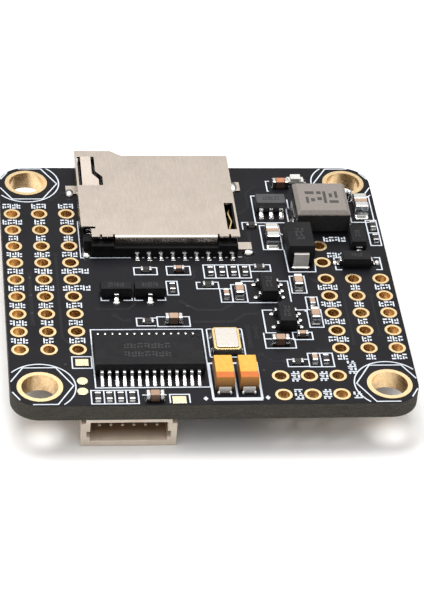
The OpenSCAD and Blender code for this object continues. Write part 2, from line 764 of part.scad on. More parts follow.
// Solder tabs beside the mouth: a foot on the board and an ear against the housing
module socket_tabs(ways) {
    half = socket_w(ways) / 2;
    color([0.80, 0.80, 0.80]) for (turn = [-1, 1]) scale([turn, 1, 1]) {
        block([half - 0.42, 0.7, 0], [half + 0.35, 2.3, 0.15]);
        block([half - 0.42, 0.7, 0.15], [half - 0.27, 2.3, 0.45]);
    }
}

module near_socket_housing() {
    at_near_socket() socket_housing(near_socket[1]);
}

module near_socket_pins() {
    at_near_socket() socket_pins(near_socket[1]);
}

module near_socket_tabs() {
    at_near_socket() socket_tabs(near_socket[1]);
}

module far_socket_housing() {
    at_far_socket() socket_housing(far_socket[1]);
}

module far_socket_pins() {
    at_far_socket() socket_pins(far_socket[1]);
}

module far_socket_tabs() {
    at_far_socket() socket_tabs(far_socket[1]);
}

// ---- Micro USB socket -----------------------------------------------------------

module at_usb() {
    on_underside() translate([usb_x, board_half + usb_out, 0]) rotate(180) children();
}

// Mouth outline in (x, z): narrow towards the board
module usb_outline(inset) {
    half = usb_w / 2 - inset;
    narrow = half - 0.95;
    low = inset;
    high = usb_h - inset;
    polygon([[-narrow, low], [narrow, low], [half, low + 0.95], [half, high - 0.15],
        [half - 0.15, high], [-half + 0.15, high], [-half, high - 0.15], [-half, low + 0.95]]);
}

module usb_shell() {
    half = usb_w / 2;
    color([0.80, 0.80, 0.81]) at_usb() {
        difference() {
            translate([0, usb_depth / 2, 0]) along_y(usb_depth) usb_outline(0);
            translate([0, usb_depth / 2 - 0.6, 0]) along_y(usb_depth) usb_outline(usb_sheet_t);
            // Latch windows in the wide face
            for (x = [-1.9, 1.9]) translate([x, 0, usb_h]) block([-0.45, 1.6, -0.5], [0.45, 3.4, 0.5]);
        }
        // Solder tabs at both sides
        for (side = [-1, 1]) translate([side * (half + 0.35), 0, 0]) {
            block([-0.35 - (side > 0 ? 0.95 : 0), 1.1, 0], [0.35 + (side < 0 ? 0.95 : 0), 2.3, 0.2]);
            block([-0.35 - (side > 0 ? 0.95 : 0), 4.1, 0], [0.35 + (side < 0 ? 0.95 : 0), 5.2, 0.2]);
        }
    }
}

// Insulator: back block and the tongue that carries the contacts
module usb_tongue() {
    color([0.08, 0.08, 0.085]) at_usb() {
        translate([0, 4.35, 0]) along_y(1.3) usb_outline(usb_sheet_t);
        block([-1.95, 1.0, 1.05], [1.95, 3.7, 1.65]);
    }
}

module usb_contacts() {
    thick = 0.12;
    color([0.90, 0.74, 0.42]) at_usb() for (x = spread(5, 0.65)) translate([x, 0, 0])
        along_x(0.3) polygon([[1.3, 0.93], [1.3, 1.05], [3.7, 1.05], [3.7, 0.93]]);
}

// ---- Chips on the underside ------------------------------------------------------

module processor_body() {
    color([0.13, 0.13, 0.14]) on_underside() translate(processor_at) difference() {
        moulded(10, 10, 0.1, 1.4, 0.65, 0.12);
        translate([-4.0, 4.0, 1.42]) cylinder(h = 1, r = 0.45);
    }
}

module processor_leads() {
    color([0.82, 0.82, 0.82]) on_underside() translate(processor_at)
        for (turn = [0, 90, 180, 270]) rotate(turn)
            lead_row(spread(16, 0.5), 5, 1.0, 0.75, 0.14, 0.22);
}

module gyro_body() {
    color([0.12, 0.12, 0.13]) on_underside() translate(gyro_at) difference() {
        block([-2, -2, 0], [2, 2, 0.9]);
        translate([-1.5, 1.5, 0.87]) cylinder(h = 1, r = 0.2);
    }
}

module barometer_base() {
    color([0.16, 0.20, 0.16]) on_underside() translate(barometer_at)
        block([-1.25, -1.0, 0], [1.25, 1.0, 0.3]);
}

// Steel lid with its vent hole
module barometer_lid() {
    color([0.80, 0.80, 0.80]) on_underside() translate(barometer_at) difference() {
        block([-1.18, -0.93, 0.3], [1.18, 0.93, 0.95]);
        translate([0.7, 0.45, 0.5]) cylinder(h = 1, r = 0.15);
    }
}

// Place a chip LED on the component side and three more under the board
module at_each_led() {
    on_top() translate(top_led_at) rotate(90) children();
    on_underside() for (p = leds_at) translate(p) children();
}

module led_bases() {
    color([0.85, 0.85, 0.80]) at_each_led() block([-0.4, -0.8, 0], [0.4, 0.8, 0.25]);
}

module led_lenses() {
    color([0.92, 0.93, 0.85]) at_each_led() block([-0.4, -0.5, 0.25], [0.4, 0.5, 0.6]);
}

// ---- Boot button -------------------------------------------------------------------

button_size = [3.9, 2.9];
button_base_h = 1.3;
button_floor = 0.35;
button_well_r = 1.15;
button_cover_t = 0.15;
button_stem_r = 0.7;
button_flange = [0.75, 1.0];

module at_button() {
    on_underside() translate(button_at) children();
}

module boot_button_base() {
    half = button_size / 2;
    color([0.09, 0.09, 0.09]) at_button() difference() {
        block([-half[0], -half[1], 0], [half[0], half[1], button_base_h]);
        translate([0, 0, button_floor]) cylinder(h = 3, r = button_well_r);
    }
}

// Steel plate with the plunger's hole, and four solder legs
module boot_button_cover() {
    half = button_size / 2;
    color([0.82, 0.82, 0.82]) at_button() {
        difference() {
            block([-half[0], -half[1], button_base_h], [half[0], half[1], button_base_h + button_cover_t]);
            cylinder(h = 5, r = button_stem_r + 0.05);
        }
        for (x = [-half[0], half[0]], y = [-half[1] + 0.2, half[1] - 0.7])
            translate([x, y, 0]) block([-(x < 0 ? 0.5 : 0), 0, 0], [x < 0 ? 0 : 0.5, 0.5, 0.2]);
    }
}

// Snap dome under the plunger
module boot_button_dome() {
    rise = 0.32;
    thick = 0.06;
    radius = 1.05;
    sphere_r = (radius * radius + rise * rise) / (2 * rise);
    color([0.85, 0.85, 0.85]) at_button() translate([0, 0, button_floor]) intersection() {
        translate([0, 0, rise - sphere_r]) difference() {
            sphere(r = sphere_r);
            sphere(r = sphere_r - thick);
        }
        cylinder(h = 1, r = radius);
    }
}

module boot_button_plunger() {
    color([0.90, 0.90, 0.88]) at_button() {
        translate([0, 0, button_flange[0]]) cylinder(h = button_flange[1] - button_flange[0], r = 0.98);
        translate([0, 0, button_flange[1]]) cylinder(h = button_h - button_flange[1], r = button_stem_r);
    }
}

// ---- Nodes -------------------------------------------------------------------------

circuit_board();
mounting_hole_plating();
left_header_plating();
right_header_plating();
video_header_plating();
surface_pads();
card_shell();
card_base();
card_contacts();
card_detect_contact();
card_slider();
card_slider_spring();
card_cam_wire();
osd_chip_body();
osd_chip_leads();
crystal_bases();
crystal_rings();
crystal_lids();
tantalum_bodies();
tantalum_terminals();
inductor_core();
inductor_terminals();
buck_chip_body();
buck_chip_leads();
transistor_bodies();
transistor_leads();
regulator_bodies();
regulator_leads();
power_diode_body();
power_diode_terminals();
small_diode_bodies();
small_diode_leads();
resistor_bodies();
resistor_terminals();
small_capacitor_bodies();
small_capacitor_terminals();
large_capacitor_bodies();
large_capacitor_terminals();
near_socket_housing();
near_socket_pins();
near_socket_tabs();
far_socket_housing();
far_socket_pins();
far_socket_tabs();
usb_shell();
usb_tongue();
usb_contacts();
processor_body();
processor_leads();
gyro_body();
barometer_base();
barometer_lid();
led_bases();
led_lenses();
boot_button_base();
boot_button_cover();
boot_button_dome();
boot_button_plunger();
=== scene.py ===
"""Looks of a flight controller board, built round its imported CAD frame. Lengths are in millimetres."""
import json
import math
import random

import bmesh
import bpy
from mathutils import Matrix, Vector


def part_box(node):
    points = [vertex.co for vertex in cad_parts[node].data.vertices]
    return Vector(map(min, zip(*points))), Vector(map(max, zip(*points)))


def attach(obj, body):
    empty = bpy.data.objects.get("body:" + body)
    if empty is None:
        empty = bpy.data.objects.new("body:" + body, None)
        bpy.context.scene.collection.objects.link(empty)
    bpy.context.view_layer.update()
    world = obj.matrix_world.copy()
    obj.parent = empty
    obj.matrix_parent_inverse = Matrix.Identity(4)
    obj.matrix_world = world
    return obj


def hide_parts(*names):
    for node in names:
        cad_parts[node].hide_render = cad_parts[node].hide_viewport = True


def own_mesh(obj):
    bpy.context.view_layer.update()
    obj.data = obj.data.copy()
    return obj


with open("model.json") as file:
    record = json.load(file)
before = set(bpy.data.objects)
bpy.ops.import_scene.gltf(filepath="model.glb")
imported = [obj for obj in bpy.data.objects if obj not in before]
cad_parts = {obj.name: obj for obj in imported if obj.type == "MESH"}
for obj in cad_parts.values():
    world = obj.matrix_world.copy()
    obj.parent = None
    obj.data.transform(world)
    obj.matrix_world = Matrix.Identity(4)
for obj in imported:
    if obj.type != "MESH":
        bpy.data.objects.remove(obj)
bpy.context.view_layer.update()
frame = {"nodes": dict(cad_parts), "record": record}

MM = 0.001
QUARTER = math.pi / 2
BOARD = "board"
random.seed(11)


def box_mm(node):
    """Lowest and highest corner of a CAD node, in millimetres."""
    low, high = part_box(node)
    return low / MM, high / MM


BOARD_HIGH = box_mm("circuit_board")[1]
TOP = BOARD_HIGH.z
HALF = BOARD_HIGH.x


# ---- Shapes ----

class Side:
    """One face of the board: heights are measured outwards from it."""

    def __init__(self, level, sign):
        self.level, self.sign = level, sign

    def at(self, x, y, h):
        return x, y, self.level + self.sign * h


ABOVE = Side(TOP, 1)
UNDER = Side(0.0, -1)
# Heights measured upwards from the board's underside
FRAME_Z = Side(0.0, 1)
# Added shapes start this far inside the face they lie on
SUNK = -0.01


def turn_steps(count):
    return [2 * math.pi * i / count for i in range(count)]


def circle(r, count, x=0.0, y=0.0):
    return [(x + r * math.cos(a), y + r * math.sin(a)) for a in turn_steps(count)]


def placed(x, y, angle, u, v):
    """The point (u, v) of a drawing that is put at (x, y) and turned by angle."""
    c, s = math.cos(angle), math.sin(angle)
    return x + u * c - v * s, y + u * s + v * c


class Shape:
    """Collects closed solids for one mesh piece. Points are (x, y, height) on one side of the board."""

    def __init__(self, side):
        self.side, self.verts, self.faces = side, [], []

    def loft(self, loops, hoop=False):
        """Closed solid through loops with the same number of points: capped, or joined up as a hoop."""
        n, count = len(loops[0]), len(loops)
        first = len(self.verts)
        self.verts += [Vector(self.side.at(*p)) * MM for loop in loops for p in loop]
        bands = [(k * n, (k + 1) % count * n) for k in range(count if hoop else count - 1)]
        faces = [[a + i, a + (i + 1) % n, b + (i + 1) % n, b + i] for a, b in bands for i in range(n)]
        if not hoop:
            faces += [list(range(n)), list(range((count - 1) * n, count * n))]
        self.faces += [[first + i for i in f] for f in faces]

    def prism(self, outline, h0, h1):
        self.loft([[(x, y, h) for x, y in outline] for h in (h0, h1)])

    def ring(self, x, y, r0, r1, h0, h1, sides):
        """Flat washer."""
        section = ((r0, h0), (r1, h0), (r1, h1), (r0, h1))
        self.loft([[(x + r * math.cos(a), y + r * math.sin(a), h) for r, h in section]
                   for a in turn_steps(sides)], True)

    def ribbon(self, points, width, h0, h1, closed=False):
        """Flat strip of even width along a line, with mitred corners."""
        pts = [Vector(p) for p in points]
        n = len(pts)
        sections = []
        for i, p in enumerate(pts):
            before = pts[i - 1] if closed or i > 0 else None
            after = pts[(i + 1) % n] if closed or i < n - 1 else None
            d0 = (p - before if before is not None else after - p).normalized()
            d1 = (after - p).normalized() if after is not None else d0
            n0, n1 = Vector((-d0.y, d0.x)), Vector((-d1.y, d1.x))
            m = (n0 + n1).normalized()
            reach = width / 2 / max(0.35, m.dot(n0))
            a, b = p + m * reach, p - m * reach
            sections.append([(*a, h0), (*b, h0), (*b, h1), (*a, h1)])
        self.loft(sections, closed)

    def turned(self, x, y, angle, outline, h0, h1):
        """Prism whose outline is drawn about (x, y) and turned by angle."""
        self.prism([placed(x, y, angle, u, v) for u, v in outline], h0, h1)

    def bead(self, x, y, angle, length, width, height):
        """Rounded drop of solder, oval in plan."""
        loops = []
        for grow, rise in ((1, -0.05), (0.99, 0.24), (0.88, 0.6), (0.62, 0.87), (0.3, 0.98), (0.05, 1)):
            a, b = length / 2 * grow, width / 2 * grow
            oval = [(a * math.cos(t), b * math.sin(t)) for t in turn_steps(14)]
            loops.append([(*placed(x, y, angle, u, v), height * rise) for u, v in oval])
        self.loft(loops)

    def fillet(self, x, y, angle, width, length, height, power=1.8):
        """Solder that climbs an end face and thins outwards; a power of 1 makes it a straight ramp."""
        loops = []
        for t in (-0.12, 0, 0.18, 0.4, 0.65, 0.88, 1):
            k = max(t, 0)
            h = height * (1 - k) ** power + min(0.035, 0.1 * length) * (1 - k ** 4) + 0.004
            w = width / 2 * (1.06 - 0.28 * k ** 3)
            rising = [(w, SUNK), (w, 0.3 * h), (w * 0.86, 0.75 * h), (w * 0.55, h)]
            across = [(-v, z) for v, z in rising] + rising[::-1]
            loops.append([(*placed(x, y, angle, t * length, v), z) for v, z in across])
        self.loft(loops)

    def build(self, name, material, slot, smooth_angle=None):
        mesh = bpy.data.meshes.new(name)
        mesh.from_pydata(self.verts, [], self.faces)
        bm = bmesh.new()
        bm.from_mesh(mesh)
        bmesh.ops.recalc_face_normals(bm, faces=bm.faces)
        bm.to_mesh(mesh)
        bm.free()
        piece = add_object(name, mesh)
        mesh.materials.append(material)
        if smooth_angle is not None:
            mesh.shade_smooth()
            mesh.set_sharp_from_angle(angle=math.radians(smooth_angle))
        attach(piece, BOARD)
        return piece


def add_object(name, data):
    made = bpy.data.objects.new(name, data)
    bpy.context.scene.collection.objects.link(made)
    return made


def solids_of(node):
    """Boxes, in millimetres, of the separate solids of a CAD node."""
    mesh = frame["nodes"][node].data
    # Vertices are matched on a grid of 0.0001 mm
    key = [tuple(round(c * 1e7) for c in v.co) for v in mesh.vertices]
    index = {k: i for i, k in enumerate(dict.fromkeys(key))}
    parent = list(range(len(index)))

    def root(i):
        while parent[i] != i:
            parent[i] = parent[parent[i]]
            i = parent[i]
        return i

    for polygon in mesh.polygons:
        ids = [root(index[key[v]]) for v in polygon.vertices]
        for i in ids[1:]:
            parent[root(i)] = root(ids[0])
    groups = {}
    for k, i in index.items():
        groups.setdefault(root(i), []).append(k)
    boxes = [[Vector([pick(axis) for axis in zip(*points)]) * 1e-4 for pick in (min, max)]
             for points in groups.values()]
    return sorted(boxes, key=lambda box: tuple(box[0]))


def middle(box):
    return (box[0] + box[1]) / 2


def side_of(box):
    return ABOVE if middle(box).z > TOP / 2 else UNDER


def solids_on(side, node):
    return [box for box in solids_of(node) if side_of(box) is side]


# ---- Materials ----

class Nodes:
    """Adds shader nodes to one tree and gives back their outputs."""

    def __init__(self, tree):
        self.tree = tree

    def feed(self, node, socket, value):
        """Link an output to an input, or set the input to a constant."""
        target = node.inputs[socket]
        if hasattr(value, "is_output"):
            self.tree.links.new(value, target)
        elif value is not None:
            target.default_value = (*value, 1) if target.type == "RGBA" else value

    def node(self, kind, inputs=None, **settings):
        made = self.tree.nodes.new("ShaderNode" + kind)
        for key, value in settings.items():
            setattr(made, key, value)
        for socket, value in (inputs or {}).items():
            self.feed(made, socket, value)
        return made

    def span(self, value, low, high, to_low=0.0, to_high=1.0):
        ends = {"From Min": low, "From Max": high, "To Min": to_low, "To Max": to_high}
        return self.node("MapRange", {"Value": value, **ends}).outputs["Result"]

    def maths(self, operation, a, b=None):
        return self.node("Math", {0: a, 1: b}, operation=operation).outputs["Value"]

    def mix(self, factor, a, b, amount=None):
        """Blend from colour a to colour b, at most by the amount if one is given."""
        if amount is not None:
            factor = self.maths("MULTIPLY", factor, amount)
        return self.node("Mix", {"Factor": factor, 6: a, 7: b}, data_type="RGBA").outputs[2]

    def part(self, vector, axis):
        return self.node("SeparateXYZ", {0: vector}).outputs[axis]


class Finish(Nodes):
    """A procedural material. Coordinates are in millimetres in the board's frame."""

    def __init__(self, name, **values):
        self.material = bpy.data.materials.new(name)
        self.material.use_nodes = True
        super().__init__(self.material.node_tree)
        self.shader = self.tree.nodes["Principled BSDF"]
        for socket, value in values.items():
            self.set(socket.replace("_", " "), value)
        self.coords = self.node("TexCoord").outputs["Object"]
        self.coords = self.stretched((1000, 1000, 1000))

    def set(self, socket, value):
        self.feed(self.shader, socket, value)

    def stretched(self, scale):
        """Coordinates scaled unevenly, for streaks and weave."""
        return self.node("Mapping", {"Vector": self.coords, "Scale": scale}).outputs["Vector"]

    def noise(self, scale, detail=3.0, rough=0.55, coords=None):
        inputs = {"Vector": coords or self.coords, "Scale": scale, "Detail": detail, "Roughness": rough}
        return self.node("TexNoise", inputs).outputs["Fac"]

    def clouds(self, scale, detail=3.0, rough=0.55, high=0.7):
        """Noise with its contrast raised."""
        return self.span(self.noise(scale, detail, rough), 0.3, high)

    def cells(self, scale):
        return self.node("TexVoronoi", {"Vector": self.coords, "Scale": scale}).outputs["Distance"]

    def place(self, axis):
        """One coordinate of the surface point, in millimetres."""
        return self.part(self.coords, axis)

    def facing(self, axis):
        """One component of the surface's own normal."""
        return self.part(self.node("NewGeometry").outputs["Normal"], axis)

    def level(self):
        """How level the surface lies, from 0 to 1."""
        return self.maths("ABSOLUTE", self.facing("Z"))

    def bump(self, height, depth, strength=1.0, under=None):
        """Relief whose full height is depth millimetres."""
        inputs = {"Strength": strength, "Distance": depth * MM, "Height": height, "Normal": under}
        return self.node("Bump", inputs).outputs["Normal"]

    def gloss(self, scale, low, high, start=0.2):
        """Roughness that wanders between two values."""
        return self.span(self.noise(scale), start, 0.8, low, high)

    def done(self, colour, rough, grain, depth, strength):
        """The material with its colour, its roughness unless None, and a relief of that depth."""
        self.set("Base Color", colour)
        self.set("Roughness", rough)
        self.set("Normal", self.bump(grain, depth, strength))
        return self.material


def scaled(colour, factor):
    return tuple(min(1, c * factor) for c in colour)


MASK_BLACK = (0.0058, 0.0054, 0.0072)
MASK_SHEEN = (0.01, 0.0095, 0.013)


def mask_colour(f):
    """Black solder mask with slow changes of depth and a few dust specks."""
    colour = f.mix(f.clouds(0.22, 4), MASK_BLACK, MASK_SHEEN)
    return f.mix(f.span(f.cells(2.1), 0.035, 0.02), colour, (0.16, 0.16, 0.17), 0.35)


def weave(f, pitch):
    """Over-and-under pattern of the glass cloth."""
    x, y = (f.maths("SINE", f.maths("MULTIPLY", f.place(axis), 2 * math.pi / pitch)) for axis in "XY")
    return f.maths("MULTIPLY", x, y)


def board_finish():
    """Solder mask on both faces and bare milled laminate on the edges."""
    f = Finish("board_mask_and_laminate", Specular_IOR_Level=0.14)
    z = f.place("Z")
    skin = 0.035
    core = f.maths("MULTIPLY", f.maths("GREATER_THAN", z, skin), f.maths("LESS_THAN", z, TOP - skin))
    layers = f.noise(1.6, 5, 0.65, f.stretched((0.55, 0.55, 5.5)))
    fibres = f.noise(7.0, 4, 0.7, f.stretched((1, 1, 2.4)))
    laminate = f.mix(f.span(layers, 0.28, 0.75), (0.035, 0.033, 0.028), (0.078, 0.072, 0.06))
    laminate = f.mix(f.span(fibres, 0.45, 0.85), laminate, (0.125, 0.116, 0.097))
    laminate = f.mix(f.span(f.noise(3.2, 2, 0.5), 0.66, 0.78), laminate, (0.012, 0.011, 0.01), 0.6)
    cloth = f.bump(weave(f, 0.95), 0.0018, 0.6, f.bump(f.noise(4.5), 0.006, 0.5))
    milled = f.maths("MULTIPLY", core, f.noise(5.5, 5, 0.7, f.stretched((1, 1, 0.6))))
    f.set("Base Color", f.mix(core, mask_colour(f), laminate))
    f.set("Roughness", f.span(core, 0, 1, 0.36, 0.82))
    f.set("Normal", f.bump(milled, 0.09, 0.8, cloth))
    return f.material


def trace_finish():
    f = Finish("masked_copper", Specular_IOR_Level=0.2)
    colour = f.mix(f.clouds(0.6), (0.0072, 0.007, 0.0095), (0.012, 0.012, 0.016))
    return f.done(colour, 0.36, f.noise(6), 0.004, 0.5)


def gold_finish(name, light, dark, rough):
    f = Finish(name, Metallic=1.0)
    colour = f.mix(f.clouds(1.4, 4, high=0.75), light, dark)
    return f.done(colour, f.gloss(5, rough - 0.06, rough + 0.1, 0.25), f.noise(9, 3, 0.5), 0.001, 0.4)


def plating_finish(name, shaded_bore, rubbed, amount):
    """Gold on the flat lands; the inside of each hole is painted darker as shade, and rubbed along its
    depth.
    """
    f = Finish(name, Metallic=1.0)
    rubs = f.span(f.noise(1.1, 2, 0.5, f.stretched((1, 1, 0.5))), 0.42, 0.72)
    land = f.mix(f.noise(1.4, 4), GOLD, GOLD_DEEP)
    # Painted shade: the bore colour darkens the inside of each hole; the rubs are wear
    colour = f.mix(f.span(f.level(), 0.4, 0.7), f.mix(rubs, shaded_bore, rubbed, amount), land)
    return f.done(colour, f.gloss(5, 0.2, 0.34, 0.25), f.noise(6, 2, 0.5), 0.001, 0.4)


def card_contact_finish():
    """Gold-flashed blades inside the socket, and tinned tails in front of its wall."""
    f = Finish("card_contact_metal", Metallic=1.0)
    wall = box_mm("card_base")[0].y + 0.5
    gold = f.mix(f.noise(1.4, 4), *CONTACT_GOLD)
    tin = f.mix(f.noise(3.5), (0.9, 0.89, 0.87), (0.72, 0.71, 0.7))
    colour = f.mix(f.span(f.place("Y"), wall + 0.05, wall - 0.05), gold, tin)
    return f.done(colour, f.gloss(6, 0.16, 0.32), f.noise(6, 3, 0.5), 0.002, 0.4)


def steep_face_shade(f):
    """Mask of painted shade: 0 on level faces, 1 on upright ones."""
    return f.span(f.level(), 0.62, 0.25)


def sheet_steel_finish(name, base, rough):
    """Rolled sheet: grain drawn out along Y, slow clouds, hairline scratches, and steep faces darkened as
    painted shade.
    """
    f = Finish(name, Metallic=1.0)
    grain = f.noise(9, 3, 0.5, f.stretched((1.0, 0.12, 0.4)))
    colour = f.mix(f.clouds(0.35), base, scaled(base, 0.9))
    scratch = f.span(f.noise(2.6, 2, 0.5, f.stretched((0.25, 3.0, 1.0))), 0.7, 0.74)
    colour = f.mix(scratch, colour, scaled(base, 1.15), 0.25)
    # Painted shade: steep faces take a darker copy of the steel's colour
    colour = f.mix(steep_face_shade(f), colour, scaled(base, 0.62))
    return f.done(colour, f.span(grain, 0.2, 0.8, rough - 0.04, rough + 0.06), grain, 0.001, 0.5)


def tin_finish(name, base, rough, depth=0.01, steep=0.34, metal=1.0):
    """Tin or solder: its own colour where it lies level, and painted shade that darkens its steep sides."""
    f = Finish(name, Metallic=metal)
    # Painted shade: steep sides take a darker copy of the metal's colour
    colour = f.mix(steep_face_shade(f), f.mix(f.noise(3.5), base, scaled(base, 0.86)), scaled(base, steep))
    return f.done(colour, f.gloss(6, rough, rough + 0.12), f.noise(5, 3, 0.5), depth, 0.4)


def plastic_finish(name, base, pale, rough, grain=18.0, depth=0.012, specular=0.45):
    """Moulded plastic: slow tone changes, fine spark-eroded grain and a few paler specks."""
    f = Finish(name, Specular_IOR_Level=specular)
    colour = f.mix(f.clouds(0.9, 4, high=0.72), base, pale)
    colour = f.mix(f.span(f.cells(3.4), 0.05, 0.03), colour, scaled(pale, 2.6), 0.4)
    return f.done(colour, f.gloss(grain * 0.5, rough - 0.06, rough + 0.1, 0.25),
                  f.noise(grain, 4, 0.65), depth, 0.6)


def silk_finish():
    """White ink: slightly uneven film with pinholes."""
    f = Finish("silkscreen_ink", Specular_IOR_Level=0.4)
    ink = f.mix(f.clouds(1.1), (0.75, 0.8, 0.87), (0.63, 0.68, 0.76))
    colour = f.mix(f.span(f.noise(8, 3, 0.6), 0.68, 0.78), ink, (0.3, 0.32, 0.36), 0.5)
    return f.done(colour, 0.55, f.noise(10), 0.006, 0.5)


def tantalum_finish():
    """Yellow moulded resin with an orange polarity band on the top's front end; its sides are painted brown
    as shade, darkest at the bottom.
    """
    f = Finish("tantalum_resin", Specular_IOR_Level=0.35)
    low, high = box_mm("tantalum_bodies")
    band_edge = low.y + 0.82
    ragged = f.maths("ADD", f.place("Y"), f.span(f.noise(9, 2), 0.3, 0.7, -0.02, 0.02))
    band = f.span(ragged, band_edge + 0.02, band_edge - 0.02)
    yellow = f.mix(f.clouds(2.2, 4), (0.82, 0.46, 0.072), (0.7, 0.36, 0.05))
    orange = f.mix(f.noise(3.0), (0.68, 0.18, 0.028), (0.52, 0.125, 0.02))
    # Painted shade: the sides are brown instead of yellow, darkening towards the bottom
    side = f.mix(f.span(f.place("Z"), TOP + 0.3, high.z), (0.055, 0.028, 0.008), (0.5, 0.21, 0.028))
    colour = f.mix(f.span(f.facing("Z"), 0.35, 0.75), side, f.mix(band, yellow, orange))
    return f.done(colour, 0.42, f.noise(14, 4, 0.65), 0.012, 0.6)


def inductor_finish():
    """Pressed iron powder: warm grey top and rim, near-black lacquered sides."""
    f = Finish("inductor_composite", Specular_IOR_Level=0.35)
    rim = box_mm("inductor_core")[1].z - 0.42
    worn = f.maths("ADD", f.place("Z"), f.span(f.noise(5), 0.3, 0.7, -0.05, 0.05))
    top = f.span(worn, rim - 0.03, rim + 0.03)
    grey = f.mix(f.clouds(6.5, 5, 0.7), (0.19, 0.168, 0.152), (0.29, 0.262, 0.238))
    grey = f.mix(f.span(f.cells(4.5), 0.1, 0.04), grey, (0.13, 0.12, 0.115), 0.5)
    sides = f.mix(f.noise(4, 4), (0.012, 0.012, 0.013), (0.03, 0.029, 0.029))
    return f.done(f.mix(top, sides, grey), f.span(top, 0, 1, 0.5, 0.62), f.noise(12, 5, 0.7), 0.03, 0.6)


def resistor_finish():
    """Ceramic chip with a black glaze on its outer face; the white ceramic sides are painted dark grey as
    shade.
    """
    f = Finish("resistor_glaze", Specular_IOR_Level=0.5)
    z = f.place("Z")
    glaze_t = 0.26
    glaze = f.maths("MAXIMUM", f.span(z, TOP + glaze_t - 0.02, TOP + glaze_t),
                    f.span(z, -glaze_t + 0.02, -glaze_t))
    black = f.mix(f.noise(3), (0.01, 0.01, 0.012), (0.022, 0.022, 0.026))
    # Painted shade: the white ceramic sides are darkened to grey
    shaded_ceramic = f.mix(f.noise(8, 4), (0.24, 0.235, 0.225), (0.17, 0.166, 0.16))
    return f.done(f.mix(glaze, shaded_ceramic, black), f.span(glaze, 0, 1, 0.7, 0.3), f.noise(15), 0.008, 0.5)


def capacitor_finish():
    """Fired ceramic: each chip its own brown to tan, one of a redder batch, with faint layers and painted
    shade on its steep sides.
    """
    f = Finish("capacitor_ceramic", Specular_IOR_Level=0.45)
    snap = f.node("VectorMath", {0: f.coords, 1: (3.1, 2.9, 9.0)}, operation="SNAP")
    own = f.node("TexWhiteNoise", {"Vector": snap.outputs[0]}, noise_dimensions="3D")
    tone = f.mix(own.outputs["Value"], (0.34, 0.2, 0.125), (0.55, 0.37, 0.255))
    mottled = f.mix(f.span(f.noise(7, 5, 0.7), 0.35, 0.75), tone, (0.4, 0.27, 0.19))
    away = f.node("VectorMath", {0: f.coords, 1: (9.05, 14.7, TOP)}, operation="DISTANCE")
    red = f.mix(f.noise(5), (0.56, 0.24, 0.12), (0.42, 0.16, 0.08))
    colour = f.mix(f.span(away.outputs["Value"], 1.2, 1.1), mottled, red)
    layers = f.noise(6, 3, 0.6, f.stretched((0.3, 0.3, 6)))
    # Painted shade: steep sides take a much darker brown, with faint layers in it
    colour = f.mix(steep_face_shade(f), colour, f.mix(layers, (0.13, 0.07, 0.045), (0.075, 0.042, 0.028)))
    return f.done(colour, f.gloss(9, 0.38, 0.58), f.noise(20, 4, 0.65), 0.01, 0.5)


def nylon_finish():
    """Natural nylon: milky, faintly mottled, with a dulled mould grain and painted shade in its mouth."""
    f = Finish("socket_nylon", Specular_IOR_Level=0.42, Subsurface_Weight=0.12, Subsurface_Scale=0.0006)
    colour = f.mix(f.clouds(0.8, 4), (0.74, 0.645, 0.545), (0.63, 0.535, 0.44))
    flow = f.span(f.noise(2.2, 3, 0.5, f.stretched((0.4, 1.0, 2.5))), 0.6, 0.72)
    outside = f.mix(flow, colour, (0.56, 0.46, 0.36), 0.3)
    # Painted shade: the inner wall of the mouth that faces the board is darkened, and so is the back wall
    y = f.maths("ABSOLUTE", f.place("Y"))
    wall = f.maths("MULTIPLY", f.span(y, HALF - 0.25, HALF - 1.6), f.span(f.facing("Z"), 0.2, 0.6))
    back = f.maths("MULTIPLY", f.span(y, HALF - 3.36, HALF - 3.42), f.span(f.place("Z"), -2.4, -2.3))
    colour = f.mix(f.maths("MAXIMUM", wall, back), outside, (0.26, 0.17, 0.105))
    return f.done(colour, f.gloss(7, 0.42, 0.58), f.noise(16, 4, 0.6), 0.01, 0.6)


def lens_finish():
    f = Finish("led_lens", Specular_IOR_Level=0.5, Transmission_Weight=0.35)
    return f.done(f.mix(f.noise(3), (0.93, 0.94, 0.88), (0.97, 0.97, 0.95)), 0.22, f.noise(6), 0.008, 0.4)


GOLD = (1.0, 0.8, 0.48)
GOLD_DEEP = (0.95, 0.69, 0.37)
CONTACT_GOLD = ((0.95, 0.72, 0.38), (0.78, 0.52, 0.24))

# Plastics and laminates: colour, paler colour, roughness, and for some the grain, its depth and specular
PLASTICS = {
    "insulator_plastic": ((0.006, 0.006, 0.007), (0.01, 0.01, 0.011), 0.5, 18.0, 0.012, 0.1),
    "slider_plastic": ((0.035, 0.035, 0.038), (0.055, 0.055, 0.06), 0.45),
    "chip_epoxy": ((0.01, 0.01, 0.0115), (0.016, 0.016, 0.018), 0.55, 14.0, 0.02, 0.14),
    "buck_chip_body": ((0.045, 0.045, 0.048), (0.06, 0.06, 0.064), 0.5),
    "crystal_ceramic": ((0.045, 0.04, 0.04), (0.07, 0.062, 0.06), 0.6),
    "barometer_laminate": ((0.02, 0.05, 0.025), (0.035, 0.07, 0.04), 0.5),
    "led_ceramic": ((0.62, 0.61, 0.55), (0.72, 0.71, 0.66), 0.5, 10.0, 0.01, 0.4),
    "plunger_plastic": ((0.66, 0.64, 0.6), (0.74, 0.72, 0.68), 0.4, 12.0, 0.01, 0.4),
}
# Tinned metals: colour, roughness, relief, and for some the painted shade of their steep faces and how
# metallic
TINS = {
    "tinned_metal": ((0.9, 0.89, 0.87), 0.12, 0.002),
    "can_metal": ((0.82, 0.775, 0.715), 0.24, 0.0015),
    "tantalum_terminals": ((0.86, 0.82, 0.77), 0.34, 0.002, 0.8, 0.4),
    "near_socket_pins": ((0.58, 0.52, 0.44), 0.25, 0.002),
    "osd_chip_leads": ((0.98, 0.98, 0.97), 0.26, 0.001, 0.22),
    "large_capacitor_terminals": ((0.98, 0.98, 0.96), 0.12, 0.0015),
}
